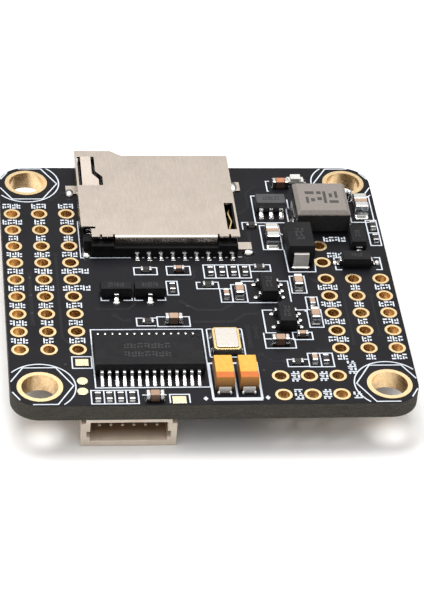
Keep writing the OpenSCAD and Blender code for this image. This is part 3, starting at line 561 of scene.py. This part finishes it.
# By material slot, or by node where one looks unlike the rest of its slot
FINISHES = {
    "board_laminate": board_finish(),
    # The mounting holes' bore colour is painted shade inside the hole
    "mounting_hole_plating": plating_finish("mounting_plating", (1.0, 0.72, 0.4), (0.3, 0.17, 0.08), 0.6),
    "surface_pads": gold_finish("bare_gold_pads", (1.0, 0.93, 0.66), (1.0, 0.86, 0.54), 0.2),
    "shell_steel": sheet_steel_finish("shell_steel", (0.76, 0.67, 0.59), 0.24),
    "spring_steel": sheet_steel_finish("spring_steel", (0.78, 0.77, 0.76), 0.2),
    "card_contacts": card_contact_finish(),
    "contact_gold": gold_finish("contact_gold", *CONTACT_GOLD, 0.2),
    "crystal_gold": gold_finish("seal_ring_gold", (0.97, 0.78, 0.4), (0.88, 0.62, 0.26), 0.26),
    "tantalum_resin": tantalum_finish(),
    "inductor_composite": inductor_finish(),
    "resistor_glaze": resistor_finish(),
    "capacitor_ceramic": capacitor_finish(),
    "socket_nylon": nylon_finish(),
    "led_lens": lens_finish(),
}
FINISHES.update({name: plastic_finish(name, *values) for name, values in PLASTICS.items()})
FINISHES.update({name: tin_finish(name, *values) for name, values in TINS.items()})
# The header holes' bore colour is darkened as painted shade inside the hole
for header in ("left_header_plating", "right_header_plating", "video_header_plating"):
    FINISHES[header] = plating_finish(header, (0.9, 0.64, 0.35), (0.57, 0.39, 0.2), 0.3)
for node, twin in (("card_detect_contact", "card_contacts"), ("far_socket_pins", "near_socket_pins"),
                   ("power_diode_terminals", "tantalum_terminals")):
    FINISHES[node] = FINISHES[twin]
SOLDER = tin_finish("solder", (0.98, 0.97, 0.96), 0.1, 0.002, 0.5)
SILK = silk_finish()
TRACE = trace_finish()
FAINT_MARK = plastic_finish("laser_mark", (0.034, 0.034, 0.036), (0.046, 0.046, 0.049), 0.6, specular=0.2)
DARK_MARK = plastic_finish("printed_mark", (0.045, 0.042, 0.042), (0.07, 0.065, 0.062), 0.6)


# ---- CAD nodes: finishes and softened edges ----

# Edge rounding in millimetres, and the nodes that have it
EDGES = {
    0.01: "resistor_bodies",
    0.012: "surface_pads",
    0.015: "card_detect_contact",
    0.02: "crystal_rings near_socket_pins far_socket_pins usb_contacts card_contacts",
    0.025: "processor_leads",
    0.03: "inductor_terminals buck_chip_leads transistor_leads regulator_leads small_diode_leads "
          "small_capacitor_bodies near_socket_tabs far_socket_tabs barometer_base led_bases "
          "boot_button_cover",
    0.035: "resistor_terminals",
    0.04: "card_base card_slider crystal_lids buck_chip_body transistor_bodies regulator_bodies "
          "power_diode_terminals gyro_body",
    0.05: "osd_chip_body osd_chip_leads crystal_bases small_diode_bodies small_capacitor_terminals "
          "usb_tongue boot_button_base",
    0.06: "card_shell power_diode_body large_capacitor_bodies near_socket_housing "
          "far_socket_housing processor_body boot_button_plunger",
    0.07: "tantalum_bodies tantalum_terminals inductor_core",
    0.08: "usb_shell led_lenses",
    0.09: "barometer_lid",
    0.12: "large_capacitor_terminals",
}


def finish_nodes():
    slots = {s["node"]: s["material_slot"] for s in frame["record"]["subparts"]}
    widths = {name: width for width, names in EDGES.items() for name in names.split()}
    for name, node in frame["nodes"].items():
        node.data.materials.clear()
        node.data.materials.append(FINISHES.get(name) or FINISHES[slots[name]])
        soften(node, widths.get(name))


def soften(node, width):
    """Round a node's edges without touching its own mesh."""
    weld = node.modifiers.new("weld", "WELD")
    weld.merge_threshold = 1e-7
    if width:
        flat = node.modifiers.new("flat", "DECIMATE")
        flat.decimate_type = "DISSOLVE"
        flat.angle_limit = math.radians(0.5)
        edge = node.modifiers.new("edge", "BEVEL")
        edge.width = width * MM
        edge.segments = 3
        edge.limit_method = "ANGLE"
        edge.angle_limit = math.radians(32)
    shade = node.modifiers.new("shade", "WEIGHTED_NORMAL")
    shade.keep_sharp = True
    shade.weight = 60


finish_nodes()


# ---- Printing on the board ----

LINE = 0.115
INK = 0.02
# Printing's gap to the milled edge, the mounting holes' place, and the board's corner radius
EDGE_GAP = 0.06
HOLE = 15.25
CORNER_R = 2.55


def on_board(p):
    """True for a point that is printed, away from the milled edge."""
    x, y = abs(p[0]), abs(p[1])
    if max(x, y) > HALF - EDGE_GAP:
        return False
    return min(x, y) < HALF - CORNER_R or math.hypot(x - HOLE, y - HOLE) < CORNER_R - EDGE_GAP


def line(ink, points, width=LINE, closed=False):
    """Printed line. Each is a hair thicker than the last, so crossing lines never share a face."""
    ink.ribbon(points, width, SUNK, INK + 0.0001 * (len(ink.faces) % 41), closed)


def frame_line(ink, x0, y0, x1, y1, width=LINE):
    line(ink, corners_of(x0, y0, x1, y1), width, True)


def clipped_line(ink, points):
    """The parts of a closely spaced line that fall on the board."""
    run = []
    for p in points + [None]:
        if p is not None and on_board(p):
            run.append(p)
            continue
        if len(run) > 1:
            line(ink, run)
        run = []


def round_mounting_holes(ink):
    """A circle round each mounting hole, and inside it a hexagon set a little inboard."""
    circle_r = 3.1
    hexagon_r = 2.87
    inboard = (0.04, 0.13)
    steps = 16
    corners = circle(hexagon_r, 6)
    hexagon = []
    for i, (x, y) in enumerate(corners):
        nx, ny = corners[(i + 1) % 6]
        hexagon += [(x + (nx - x) * q / steps, y + (ny - y) * q / steps) for q in range(steps)]
    for sx in (-1, 1):
        for sy in (-1, 1):
            for outline, (dx, dy) in ((circle(circle_r, 72), (0, 0)), (hexagon, inboard)):
                points = [(sx * (HOLE - dx) + x, sy * (HOLE - dy) + y) for x, y in outline]
                first = next(i for i, p in enumerate(points) if not on_board(p))
                clipped_line(ink, points[first:] + points[:first])


def corners_of(x0, y0, x1, y1):
    return [(x0, y0), (x1, y0), (x1, y1), (x0, y1)]


# Plain three-block marks that stand where printed letters would be, in a unit cell
GLYPHS = (((0, 0, 0.32, 1), (0.5, 0, 1, 0.24), (0.5, 0.5, 1, 0.76)),
          ((0, 0.76, 1, 1), (0, 0, 0.32, 0.54), (0.55, 0.14, 1, 0.42)),
          ((0.68, 0, 1, 1), (0, 0.76, 0.5, 1), (0, 0.24, 0.5, 0.5)),
          ((0, 0, 1, 0.24), (0.68, 0.44, 1, 1), (0.05, 0.48, 0.42, 0.82)))


def marks(shape, x, y, width, height=0.74, angle=0.0, base=0.0, thick=INK, pitch=0.5):
    """Row of marks centred on (x, y)."""
    count = max(2, round(width / pitch))
    step = width / count
    cell = step * 0.78
    first = random.randrange(len(GLYPHS))
    for i in range(count):
        left = -width / 2 + i * step + (step - cell) / 2
        for x0, y0, x1, y1 in GLYPHS[(first + i) % len(GLYPHS)]:
            u0, u1 = left + x0 * cell, left + x1 * cell
            v0, v1 = (y0 - 0.5) * height, (y1 - 0.5) * height
            shape.turned(x, y, angle, corners_of(u0, v0, u1, v1), base + SUNK, base + thick)


PITCH = 2.54
LEFT_COLUMNS = (-16.76, -14.22, -11.68)
RIGHT_COLUMNS = (11.6, 14.14, 16.68)
# Y of the first row of words beside each grid
LEFT_WORDS_Y = 10.18 + PITCH / 2
RIGHT_WORDS_Y = -0.07 - 1.22

# Widths of the printed words beside the left grid, a row of three for each row of holes
LEFT_WORDS = ((1.75, 1.45, 1.5), (1.9, 1.1, 1.3), (0.95, 0.95, 0.95), (1.5, 1.5, 1.5), (1.5, 1.7, 2.6),
              (1.5, 1.8, 2.6), (1.5, 1.4, 1.5), (1.6, 1.2, 1.3), (1.6, 1.0, 1.5))
RIGHT_WORDS = ((1.9, 0.95, 1.5),) * 4 + ((1.0, 0.95, 1.5),)


def words_beside_holes(ink):
    for row, widths in enumerate(LEFT_WORDS):
        for x, width in zip(LEFT_COLUMNS, widths):
            marks(ink, x + (0.35 if width > 2.4 else 0), LEFT_WORDS_Y - PITCH * row, width)
    for row, widths in enumerate(RIGHT_WORDS):
        for x, width in zip(RIGHT_COLUMNS, widths):
            marks(ink, x, RIGHT_WORDS_Y - PITCH * row, width)
    marks(ink, 13.2, 6.1, 2.2)
    marks(ink, 12.9, 3.6, 1.5)
    for x, y, width in ((7.1, -14.1, 1.5), (9.6, -14.1, 1.4), (7.1, -16.55, 1.5), (9.6, -16.55, 1.4),
                        (12.25, -12.9, 1.9), (12.25, -16.7, 1.0)):
        marks(ink, x, y, width, angle=QUARTER)


# Outlines round the parts on the component side: closed frames, then open lines
TOP_FRAMES = (
    (-12.3, -12.75, -10.6, -11.15), (-10.45, -15.45, -0.5, -7.35), (-10.9, -17.6, -6.85, -15.8),
    (-4.4, -6.95, -1.5, -5.55), (-3.15, -2.35, -2.15, -0.3), (-5.95, 0.7, -3.85, 1.78),
    (-2.95, 0.65, -0.8, 1.95), (0.45, 0.15, 4.75, 2.15), (1.65, -3.45, 2.7, -1.45),
    (2.72, -3.45, 4.05, -0.85), (8.25, -2.15, 9.6, 0.4), (9.25, -7.2, 10.5, -4.62),
    (4.95, -10.15, 7.65, -8.82), (7.55, -8.95, 9.3, -7.9), (6.35, 4.5, 8.15, 8.3),
    (15.2, 8.8, 17.4, 13.0), (6.05, 8.75, 9.2, 13.1), (16.55, 5.1, 17.55, 9.1),
    (8.52, -12.8, 10.72, -10.9))
TOP_LINES = (
    ((-9.8, -17.6), (-9.8, -15.8)), ((-8.87, -17.6), (-8.87, -15.8)), ((-7.88, -17.6), (-7.88, -15.8)),
    ((-4.15, -17.55), (-4.15, -16.42), (-2.45, -16.42), (-2.45, -17.55)),
    ((-6.5, -16.45), (-5.95, -16.45)), ((-4.95, -16.45), (-4.4, -16.45)),
    ((-5.7, -5.72), (-6.25, -5.72), (-6.25, -6.85), (-4.55, -6.85)), ((-5.0, -5.72), (-4.45, -5.72)),
    ((1.5, 0.15), (1.5, 2.15)), ((2.6, 0.15), (2.6, 2.15)), ((3.68, 0.15), (3.68, 2.15)),
    ((4.75, 1.15), (6.65, 1.15), (6.65, 2.15), (4.75, 2.15)),
    ((0.0, -0.47), (-0.4, -0.47), (-0.4, -1.45), (1.6, -1.45), (1.6, -0.47), (1.2, -0.47)),
    ((9.35, -4.5), (9.35, -2.75), (10.4, -2.75), (10.4, -4.5)),
    ((4.95, -8.85), (4.95, -7.95)), ((7.1, -11.74), (6.62, -11.74), (6.62, -12.76), (8.45, -12.76)),
    ((8.1, -11.74), (8.5, -11.74)), ((9.6, -12.8), (9.6, -10.9)),
    ((-9.2, -2.65), (-9.2, -3.12), (-8.5, -3.12)), ((-7.2, -3.12), (-6.42, -3.12), (-6.42, -2.75)),
    ((-6.18, -2.75), (-6.18, -3.12), (-5.45, -3.12)), ((-4.15, -3.12), (-3.4, -3.12), (-3.4, -2.65)),
    ((4.1, -3.55), (8.0, -3.55), (8.0, -0.35), (7.2, -0.35)), ((3.75, -0.8), (3.75, -0.35), (4.9, -0.35)),
    ((6.1, -7.95), (5.2, -7.95), (5.2, -4.65), (6.1, -4.65)), ((8.3, -4.65), (9.1, -4.65), (9.1, -4.9)),
    ((9.45, 9.5), (9.45, 12.5)), ((4.75, 7.65), (4.75, 8.8), (6.0, 8.8)), ((8.15, 7.1), (8.6, 6.6)),
    ((8.25, 4.45), (8.3, 1.05), (10.8, 1.05), (10.95, 3.0)),
    ((13.3, 3.2), (12.75, 3.2), (12.75, 1.35), (13.3, 1.35)),
    ((16.5, 3.2), (17.05, 3.2), (17.05, 1.35), (16.5, 1.35)), ((16.55, 7.1), (17.55, 7.1)),
    ((7.9, 13.9), (7.75, 13.9), (7.75, 15.55), (8.1, 15.55)))


def print_top():
    ink = Shape(ABOVE)
    round_mounting_holes(ink)
    words_beside_holes(ink)
    for box in TOP_FRAMES:
        frame_line(ink, *box)
    for points in TOP_LINES:
        line(ink, list(points))
    # Double-width outline of the two tantalum capacitors, with a thick bar at the marked end
    frame_line(ink, -0.4, -17.05, 3.85, -12.2, 0.2)
    line(ink, [(1.72, -17.0), (1.72, -12.25)], 0.16)
    ink.prism(corners_of(-0.43, -17.32, 3.88, -16.9), SUNK, INK)
    # Rounded outline of the crystal
    ink.ribbon(rounded(-0.12, -11.35, 3.02, -7.35, 0.12), LINE, SUNK, INK, True)
    for x, y in ((-1.05, -17.0), (4.35, -16.95)):
        ink.turned(x, y, 0, [(0.22, 0), (0, 0.3), (-0.22, 0), (0, -0.3)], SUNK, INK)
    # Thin line in front of the card socket, broken by its contacts
    fine = 0.09
    line(ink, [(-10.7, 9.0), (-10.7, 3.3), (-6.1, 3.3)], fine)
    contact_pitch = 1.1
    for i in range(8):
        x = contact_pitch * i
        line(ink, [(x - 5.05, 3.3), (x - 4.85, 3.3)], fine)
    line(ink, [(3.85, 3.38), (4.2, 3.38)], fine)
    ink.build("silkscreen_top", SILK, "silkscreen_ink")


def rounded(x0, y0, x1, y1, r):
    """Outline of a box with rounded corners."""
    points = []
    for cx, cy, start in ((x1 - r, y1 - r, 0), (x0 + r, y1 - r, 90),
                          (x0 + r, y0 + r, 180), (x1 - r, y0 + r, 270)):
        for step in range(5):
            a = math.radians(start + step * 22.5)
            points.append((cx + r * math.cos(a), cy + r * math.sin(a)))
    return points


def print_under():
    """Outlines round the main parts under the board, and the words beside the holes."""
    ink = Shape(UNDER)
    round_mounting_holes(ink)
    for row in range(9):
        for x in LEFT_COLUMNS[:2]:
            marks(ink, x, LEFT_WORDS_Y - PITCH * row, random.choice((1.0, 1.5)))
    for row in range(5):
        for x in RIGHT_COLUMNS:
            marks(ink, x, RIGHT_WORDS_Y - PITCH * row, random.choice((1.0, 1.5)))
    for node, grow in (("gyro_body", 0.3), ("barometer_base", 0.3), ("boot_button_base", 0.7),
                       ("regulator_bodies", 0.2)):
        for low, high in solids_on(UNDER, node):
            frame_line(ink, low.x - grow, low.y - grow, high.x + grow, high.y + grow)
    for low, high in solids_of("processor_body"):
        for sx, x in ((1, low.x - 1.3), (-1, high.x + 1.3)):
            for sy, y in ((1, low.y - 1.3), (-1, high.y + 1.3)):
                line(ink, [(x + sx * 1.2, y), (x, y), (x, y + sy * 1.2)])
        ink.prism(circle(0.25, 24, low.x - 1.7, high.y + 0.6), SUNK, INK)
    for node in ("near_socket_housing", "far_socket_housing"):
        low, high = box_mm(node)
        grow = 0.35
        inner = high.y + 1.35 if low.y < 0 else low.y - 1.35
        edge = low.y + 0.3 if low.y < 0 else high.y - 0.3
        for x in (low.x - grow - 0.3, high.x + grow + 0.3):
            line(ink, [(x, edge), (x, inner), (x + (0.8 if x < middle((low, high)).x else -0.8), inner)])
    for x, y, width in ((-2.6, 8.4, 2.0), (7.4, 13.0, 2.0), (-7.6, -11.2, 3.0), (7.6, 0.9, 2.0),
                        (-6.8, 8.4, 1.5)):
        marks(ink, x, y, width)
    ink.build("silkscreen_under", SILK, "silkscreen_ink")


def print_on_chips():
    """Faint laser marks on the chips: rows across each top face."""
    ink = Shape(ABOVE)
    osd = box_mm("osd_chip_body")
    cx, cy = middle(osd).xy
    for y in (cy + 0.48, cy - 0.68):
        marks(ink, cx - 0.15, y, 4.2, 0.7, base=osd[1].z - TOP, thick=0.006, pitch=0.6)
    for node, width, height, angle in (
            ("transistor_bodies", 1.5, 0.55, 0.0), ("regulator_bodies", 1.6, 0.6, QUARTER),
            ("buck_chip_body", 1.7, 0.6, 0.0), ("power_diode_body", 1.8, 0.8, QUARTER),
            ("small_diode_bodies", 1.1, 0.5, 0.0)):
        for low, high in solids_on(ABOVE, node):
            x, y = middle((low, high)).xy
            as_given = node != "small_diode_bodies" or high.x - low.x > high.y - low.y
            turn = angle if as_given else QUARTER
            marks(ink, x, y, width, height, turn, high.z - TOP, 0.008)
    ink.build("chip_marks_top", FAINT_MARK, "chip_epoxy")
    below = Shape(UNDER)
    for node, rows, width, height in (("processor_body", 3, 5.0, 0.8), ("gyro_body", 2, 2.0, 0.5),
                                      ("regulator_bodies", 1, 1.1, 0.5)):
        for low, high in solids_on(UNDER, node):
            x, y = middle((low, high)).xy
            for i in range(rows):
                marks(below, x, y + (i - (rows - 1) / 2) * height * 1.6, width, height, 0, -low.z, 0.008)
    below.build("chip_marks_under", FAINT_MARK, "chip_epoxy")
    value = Shape(ABOVE)
    core = box_mm("inductor_core")
    x, y = middle(core).xy
    marks(value, x, y - 0.1, 3.3, 1.9, base=core[1].z - TOP, thick=0.002, pitch=1.1)
    value.build("inductor_value_mark", DARK_MARK, "inductor_composite")


# ---- Solder and copper ----

def leads_of(lead_node):
    """(side, x, y, angle, width, height) of each lead's outer end, pointing away from its own package."""
    part = lead_node.rsplit("_", 1)[0]
    bodies = next(part + end for end in ("_body", "_bodies", "_core") if part + end in frame["nodes"])
    packages = solids_of(bodies)
    ends = []
    for low, high in solids_of(lead_node):
        centre = middle((low, high))
        side = side_of((low, high))
        own = min((p for p in packages if side_of(p) is side), key=lambda p: (middle(p) - centre).length)
        half = (own[1] - own[0]) / 2
        away = centre - middle(own)
        height = high.z - TOP if side is ABOVE else -low.z
        if abs(away.x) / half.x > abs(away.y) / half.y:
            x, angle = (high.x, 0.0) if away.x > 0 else (low.x, math.pi)
            ends.append((side, x, centre.y, angle, high.y - low.y, height))
        else:
            y, angle = (high.y, QUARTER) if away.y > 0 else (low.y, -QUARTER)
            ends.append((side, centre.x, y, angle, high.x - low.x, height))
    return ends


# Chip parts: how far their solder runs out, and how far up the end face it climbs
CHIP_PARTS = (("resistor_terminals", 0.06, 0.5), ("small_capacitor_terminals", 0.07, 0.5),
              ("large_capacitor_terminals", 0.11, 0.35))
# The power parts lie beyond this Y; the large capacitors there have wide pads with flat solder
POWER_Y = 3.0
# Bent leads: back and forward reach of the drop over the foot, share of the lead's width, and height
BENT_LEADS = (("processor_leads", 0.4, 0.35, 1.35, 0.19), ("transistor_leads", 0.22, 0.34, 1.8, 0.2),
              ("regulator_leads", 0.16, 0.13, 1.0, 0.15), ("buck_chip_leads", 0.22, 0.3, 1.2, 0.2),
              ("small_diode_leads", 0.18, 0.42, 1.4, 0.33))
# Straight ramps of solder over a foot: back and forward reach, share of the lead's width, and height
RAMPED_LEADS = (("osd_chip_leads", 0.57, 0.5, 1.15, 0.33), ("transistor_leads", 0.33, 0.32, 1.25, 0.28),
                ("buck_chip_leads", 0.3, 0.32, 1.25, 0.28))
# Flat terminals: share of the terminal's width, reach and height of their solder
FLAT_TERMINALS = (("power_diode_terminals", 1.1, 0.18, 0.08), ("inductor_terminals", 1.05, 0.4, 0.3))


def solder_joints():
    drops = {ABOVE: Shape(ABOVE), UNDER: Shape(UNDER)}
    for leads, reach, climb in CHIP_PARTS:
        for side, x, y, angle, width, height in leads_of(leads):
            drops[side].fillet(x, y, angle, width * 1.02, reach, height * climb)
            if leads == "large_capacitor_terminals" and abs(math.sin(angle)) > 0.5 and y > POWER_Y:
                drops[side].fillet(x, y, angle, width, 0.56, 0.1)
    for leads, back, front, share, height in BENT_LEADS:
        for side, x, y, angle, width, _ in leads_of(leads):
            centre = placed(x, y, angle, (front - back) / 2, 0)
            drops[side].bead(*centre, angle, back + front, width * share, height)
    for leads, back, front, share, height in RAMPED_LEADS:
        for side, x, y, angle, width, _ in leads_of(leads):
            heel = placed(x, y, angle, -back, 0)
            drops[side].fillet(*heel, angle, width * share, back + front, height, 1.0)
            if leads == "osd_chip_leads" and angle > 0:
                drops[side].bead(x, y + 0.2, angle, 0.62, 0.36, 0.27)
    for side, x, y, angle, _, _ in leads_of("tantalum_terminals"):
        for v in (-0.52, 0.52):
            drops[side].bead(*placed(x, y, angle, 0, v), angle, 0.5, 0.32, 0.3)
    for leads, share, reach, height in FLAT_TERMINALS:
        for side, x, y, angle, width, _ in leads_of(leads):
            drops[side].fillet(x, y, angle, width * share, reach, height)
    socket_joints(drops[ABOVE], drops[UNDER])
    small_part_joints(drops)
    drops[ABOVE].build("solder_top", SOLDER, "solder", smooth_angle=70)
    drops[UNDER].build("solder_under", SOLDER, "solder", smooth_angle=70)


def socket_joints(top, under):
    """Solder of the card socket's tails and feet, the wire sockets and the USB shell."""
    for low, high in solids_of("card_contacts") + solids_of("card_detect_contact"):
        if low.y < 3:
            x = (low.x + high.x) / 2
            top.bead(x, low.y + 0.4, 0, 0.44, 0.42, 0.2)
            top.bead(x, low.y + 0.74, 0, 0.34, 0.24, 0.36)
    low, high = box_mm("card_shell")
    # The shell's feet: front left and right, then the tabs at the back
    top.bead(low.x + 1.41, 3.72, QUARTER, 1.05, 0.9, 0.3)
    top.bead(high.x - 0.4, 3.95, 0, 1.15, 0.85, 0.34)
    top.bead(low.x + 0.32, 13.45, QUARTER, 1.2, 0.85, 0.34)
    top.bead(high.x - 0.85, 14.5, QUARTER, 1.7, 0.95, 0.34)
    for socket in ("near_socket", "far_socket"):
        out = QUARTER if middle(box_mm(socket + "_housing")).y < 0 else -QUARTER
        for low, high in solids_of(socket + "_pins"):
            y = high.y if out > 0 else low.y
            under.bead((low.x + high.x) / 2, y, out, 0.7, 0.42, 0.26)
    for box in solids_of("near_socket_tabs") + solids_of("far_socket_tabs"):
        under.bead(*middle(box).xy, QUARTER, 1.9, 0.95, 0.26)
    low, high = box_mm("usb_shell")
    for x in (low.x + 0.2, high.x - 0.2):
        for y in (high.y - 1.7, high.y - 4.65):
            under.bead(x, y, QUARTER, 1.6, 0.6, 0.32)


def small_part_joints(drops):
    """Solder of the button, the lights, the crystals, the gyro and the barometer."""
    top, under = drops[ABOVE], drops[UNDER]
    for low, high in solids_of("boot_button_cover"):
        if high.x - low.x < 1:
            under.bead(*middle((low, high)).xy, 0, 0.8, 0.72, 0.28)
    for low, high in solids_of("led_bases"):
        x, y = middle((low, high)).xy
        along = QUARTER if high.y - low.y > high.x - low.x else 0.0
        half = max(high.y - low.y, high.x - low.x) / 2
        for a in (along, along + math.pi):
            drops[side_of((low, high))].fillet(*placed(x, y, a, half, 0), a, 0.7, 0.3, 0.16)
    for low, high in solids_of("crystal_bases"):
        for x, a in ((low.x, math.pi), (high.x, 0.0)):
            for y in (low.y + 0.55, high.y - 0.55):
                drops[side_of((low, high))].fillet(x, y, a, 0.75, 0.22, 0.22)
    for node, pads in (("gyro_body", 6), ("barometer_base", 2)):
        low, high = box_mm(node)
        for i in range(pads):
            y = low.y + (high.y - low.y) * (i + 0.5) / pads
            for x, a in ((low.x, math.pi), (high.x, 0.0)):
                under.fillet(x, y, a, 0.3, 0.25, 0.12)
            if node == "gyro_body":
                x = low.x + (high.x - low.x) * (i + 0.5) / pads
                for y, a in ((low.y, -QUARTER), (high.y, QUARTER)):
                    under.fillet(x, y, a, 0.3, 0.25, 0.12)
    # A heaped joint behind the left of the large capacitor beside the inductor
    top.bead(15.4, 12.55, 0, 0.8, 0.8, 1.1)


# Tracks that show through the mask, and the vias they end at
TOP_TRACKS = (
    ((-13.0, 3.8), (-13.0, -8.4), (-12.2, -9.6)), ((-15.5, -6.5), (-15.5, 1.0)),
    ((-9.6, -4.4), (-6.9, -4.4), (-6.2, -3.7), (-6.2, -3.2)), ((-8.2, -5.3), (-7.4, -6.1), (-7.0, -6.1)),
    ((-2.0, -3.4), (-0.6, -4.6), (1.5, -4.6), (2.4, -3.9)),
    ((-1.0, -6.3), (2.4, -6.3), (3.6, -5.2), (4.6, -5.2)),
    ((4.4, -11.0), (5.4, -12.0), (6.4, -12.0)), ((-2.1, 0.0), (-0.8, 0.0), (-0.5, 0.3), (-0.5, 1.2)),
    ((10.6, -0.4), (9.9, 0.3), (9.9, 0.9)), ((4.3, -7.2), (4.3, -8.6)), ((3.6, -7.0), (3.6, -9.9)),
    ((11.4, -11.2), (10.7, -10.5), (9.6, -10.5)), ((12.9, -2.0), (12.9, -9.6)),
    ((15.4, -2.6), (15.4, -8.4)), ((5.2, 4.3), (5.2, 7.1)),
    ((4.6, 10.2), (5.6, 11.2), (5.6, 13.6), (6.6, 14.6)), ((-13.0, 12.4), (-11.9, 13.6)))
UNDER_TRACKS = (
    ((-9.0, -9.4), (-9.0, -3.0), (-8.5, -2.5)), ((3.4, -4.0), (4.6, -4.0)),
    ((3.4, -1.0), (4.2, -0.2), (4.2, 2.2)),
    ((-2.0, 4.4), (-2.0, 6.8), (-0.6, 8.2), (0.8, 8.2)), ((2.9, 4.2), (5.0, 6.3), (11.0, 6.3)),
    ((10.2, -2.0), (10.2, -9.0)), ((-5.0, 5.0), (-5.0, 8.2)), ((9.6, 8.8), (11.6, 6.8)),
    ((1.6, 11.4), (4.0, 9.0)),
    ((-9.0, 4.4), (-9.0, 9.2)), ((3.6, -10.6), (5.6, -10.6)), ((-13.0, -9.6), (-13.0, 3.8)))


def copper():
    """Tracks under the mask, stitching vias, and a few open vias."""
    for name, side, tracks in (("copper_top", ABOVE, TOP_TRACKS), ("copper_under", UNDER, UNDER_TRACKS)):
        raised = Shape(side)
        for points in tracks:
            raised.ribbon(points, random.choice((0.2, 0.25, 0.35)), SUNK, 0.009)
            for x, y in (points[0], points[-1]):
                raised.ring(x, y, 0.09, 0.27, SUNK, 0.014, 20)
        raised.build(name, TRACE, "board_laminate")
    spots = Shape(ABOVE)
    for x, y in ((-15.5, 0.3), (-15.5, -2.3), (-15.5, -4.9), (-12.9, -12.2), (-1.5, -4.0), (5.2, 5.2),
                 (4.4, -13.2)):
        spots.prism(circle(0.13, 12, x, y), SUNK, 0.022)
    spots.build("open_vias", FAINT_MARK, "board_laminate")


# ---- Spring and dome of the moving parts ----

def slider_spring():
    """Fine coil in place of the CAD's coarse one."""
    low, high = box_mm("card_slider_spring")
    wire_r = 0.05
    turns, per_turn, sides = 18, 24, 8
    cx, cz = (low.x + high.x) / 2, (low.z + high.z) / 2
    coil_r = (high.x - low.x) / 2 - wire_r
    y0, y1 = low.y + wire_r, high.y - wire_r
    coil = Shape(FRAME_Z)
    loops = []
    for i in range(turns * per_turn + 1):
        a = 2 * math.pi * i / per_turn
        y = y0 + (y1 - y0) * i / (turns * per_turn)
        ring = []
        for b in turn_steps(sides):
            r = coil_r + wire_r * math.cos(b)
            ring.append((cx + r * math.cos(a), y + wire_r * math.sin(b), cz + r * math.sin(a)))
        loops.append(ring)
    coil.loft(loops)
    piece = coil.build("slider_spring_coil", FINISHES["spring_steel"], "spring_steel", smooth_angle=60)
    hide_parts("card_slider_spring")
    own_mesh(piece)


def button_dome():
    """Thin snap dome."""
    low, high = box_mm("boot_button_dome")
    cx, cy = middle((low, high)).xy
    radius, rise, thick = (high.x - low.x) / 2, high.z - low.z, 0.05
    sphere_r = (radius ** 2 + rise ** 2) / (2 * rise)
    dome = Shape(FRAME_Z)
    reach = math.asin(radius / sphere_r)
    loops = []
    for r, steps in ((sphere_r, range(1, 10)), (sphere_r - thick, range(9, 0, -1))):
        for i in steps:
            a = reach * i / 9
            z = min(low.z + sphere_r - r * math.cos(a), high.z)
            loops.append([(x, y, z) for x, y in circle(r * math.sin(a), 32, cx, cy)])
    dome.loft(loops)
    piece = dome.build("boot_dome_shell", FINISHES["spring_steel"], "spring_steel", smooth_angle=50)
    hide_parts("boot_button_dome")
    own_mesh(piece)


copper()
print_top()
print_under()
print_on_chips()
solder_joints()
slider_spring()
button_dome()


# ---- Camera, light and floor ----

def make_camera():
    """Looks down at the board from just left of its front, a little rolled."""
    target = Vector((0.8, -3.1, TOP)) * MM
    distance = 237.2 * MM
    azimuth, elevation, roll = math.radians(-8.39), math.radians(37.29), math.radians(4.82)
    back = Vector((math.sin(azimuth) * math.cos(elevation), -math.cos(azimuth) * math.cos(elevation),
                   math.sin(elevation)))
    data = bpy.data.cameras.new("camera")
    camera = add_object("camera", data)
    aim = (-back).to_track_quat("-Z", "Y").to_matrix().to_4x4()
    camera.matrix_world = Matrix.Translation(target + back * distance) @ aim @ Matrix.Rotation(roll, 4, "Z")
    data.lens = 157.7
    data.clip_start, data.clip_end = 0.01, 10
    bpy.context.scene.camera = camera


def make_light(name, place, size, power):
    """Rectangular lamp that faces the board's centre. Its place and size are in metres."""
    data = bpy.data.lights.new(name, "AREA")
    data.shape = "RECTANGLE"
    data.size, data.size_y = size
    data.energy = power
    lamp = add_object(name, data)
    lamp.location = place
    lamp.rotation_euler = (-Vector(place)).to_track_quat("-Z", "Y").to_euler()


def make_sky():
    """Dim near the horizon, bright overhead, and dimmer in front of the board than behind it."""
    world = bpy.data.worlds.new("studio")
    bpy.context.scene.world = world
    world.use_nodes = True
    sky = Nodes(world.node_tree)
    way = sky.node("TexCoord").outputs["Generated"]
    # The sine of the elevation, raised in two steps
    z = sky.part(way, "Z")
    total = sky.maths("ADD", sky.span(z, 0.25, 0.54, 0.05, 0.57), sky.span(z, 0.54, 0.67, 0.0, 0.78))
    front = sky.span(sky.part(way, "Y"), -0.8, 0.1, 0.5, 1.0)
    background = world.node_tree.nodes["Background"]
    sky.feed(background, "Strength", sky.maths("MULTIPLY", total, front))
    sky.feed(background, "Color", (1.0, 0.985, 0.965))


def make_studio():
    """A large soft lamp above, two weak fills, and a pale floor just under the lowest part."""
    make_sky()
    make_light("softbox", (-0.05, 0.15, 0.45), (0.3, 0.2), 1.6)
    make_light("front_strip", (0.0, -0.44, 0.21), (0.6, 0.13), 0.28)
    make_light("left_fill", (-0.45, -0.05, 0.15), (0.2, 0.12), 0.18)
    size = 3.0
    gap = 0.00002
    z = box_mm("near_socket_housing")[0].z * MM - gap
    mesh = bpy.data.meshes.new("floor")
    mesh.from_pydata([(x, y, z) for x, y in corners_of(-size, -size, size, size)], [], [[0, 1, 2, 3]])
    floor = add_object("floor", mesh)
    f = Finish("floor_paper", Roughness=0.75, Specular_IOR_Level=0.2)
    f.set("Base Color", f.mix(f.noise(0.05, 2), (0.93, 0.93, 0.93), (0.9, 0.9, 0.9)))
    mesh.materials.append(f.material)
    bpy.context.scene.view_settings.view_transform = "Standard"


make_camera()
make_studio()
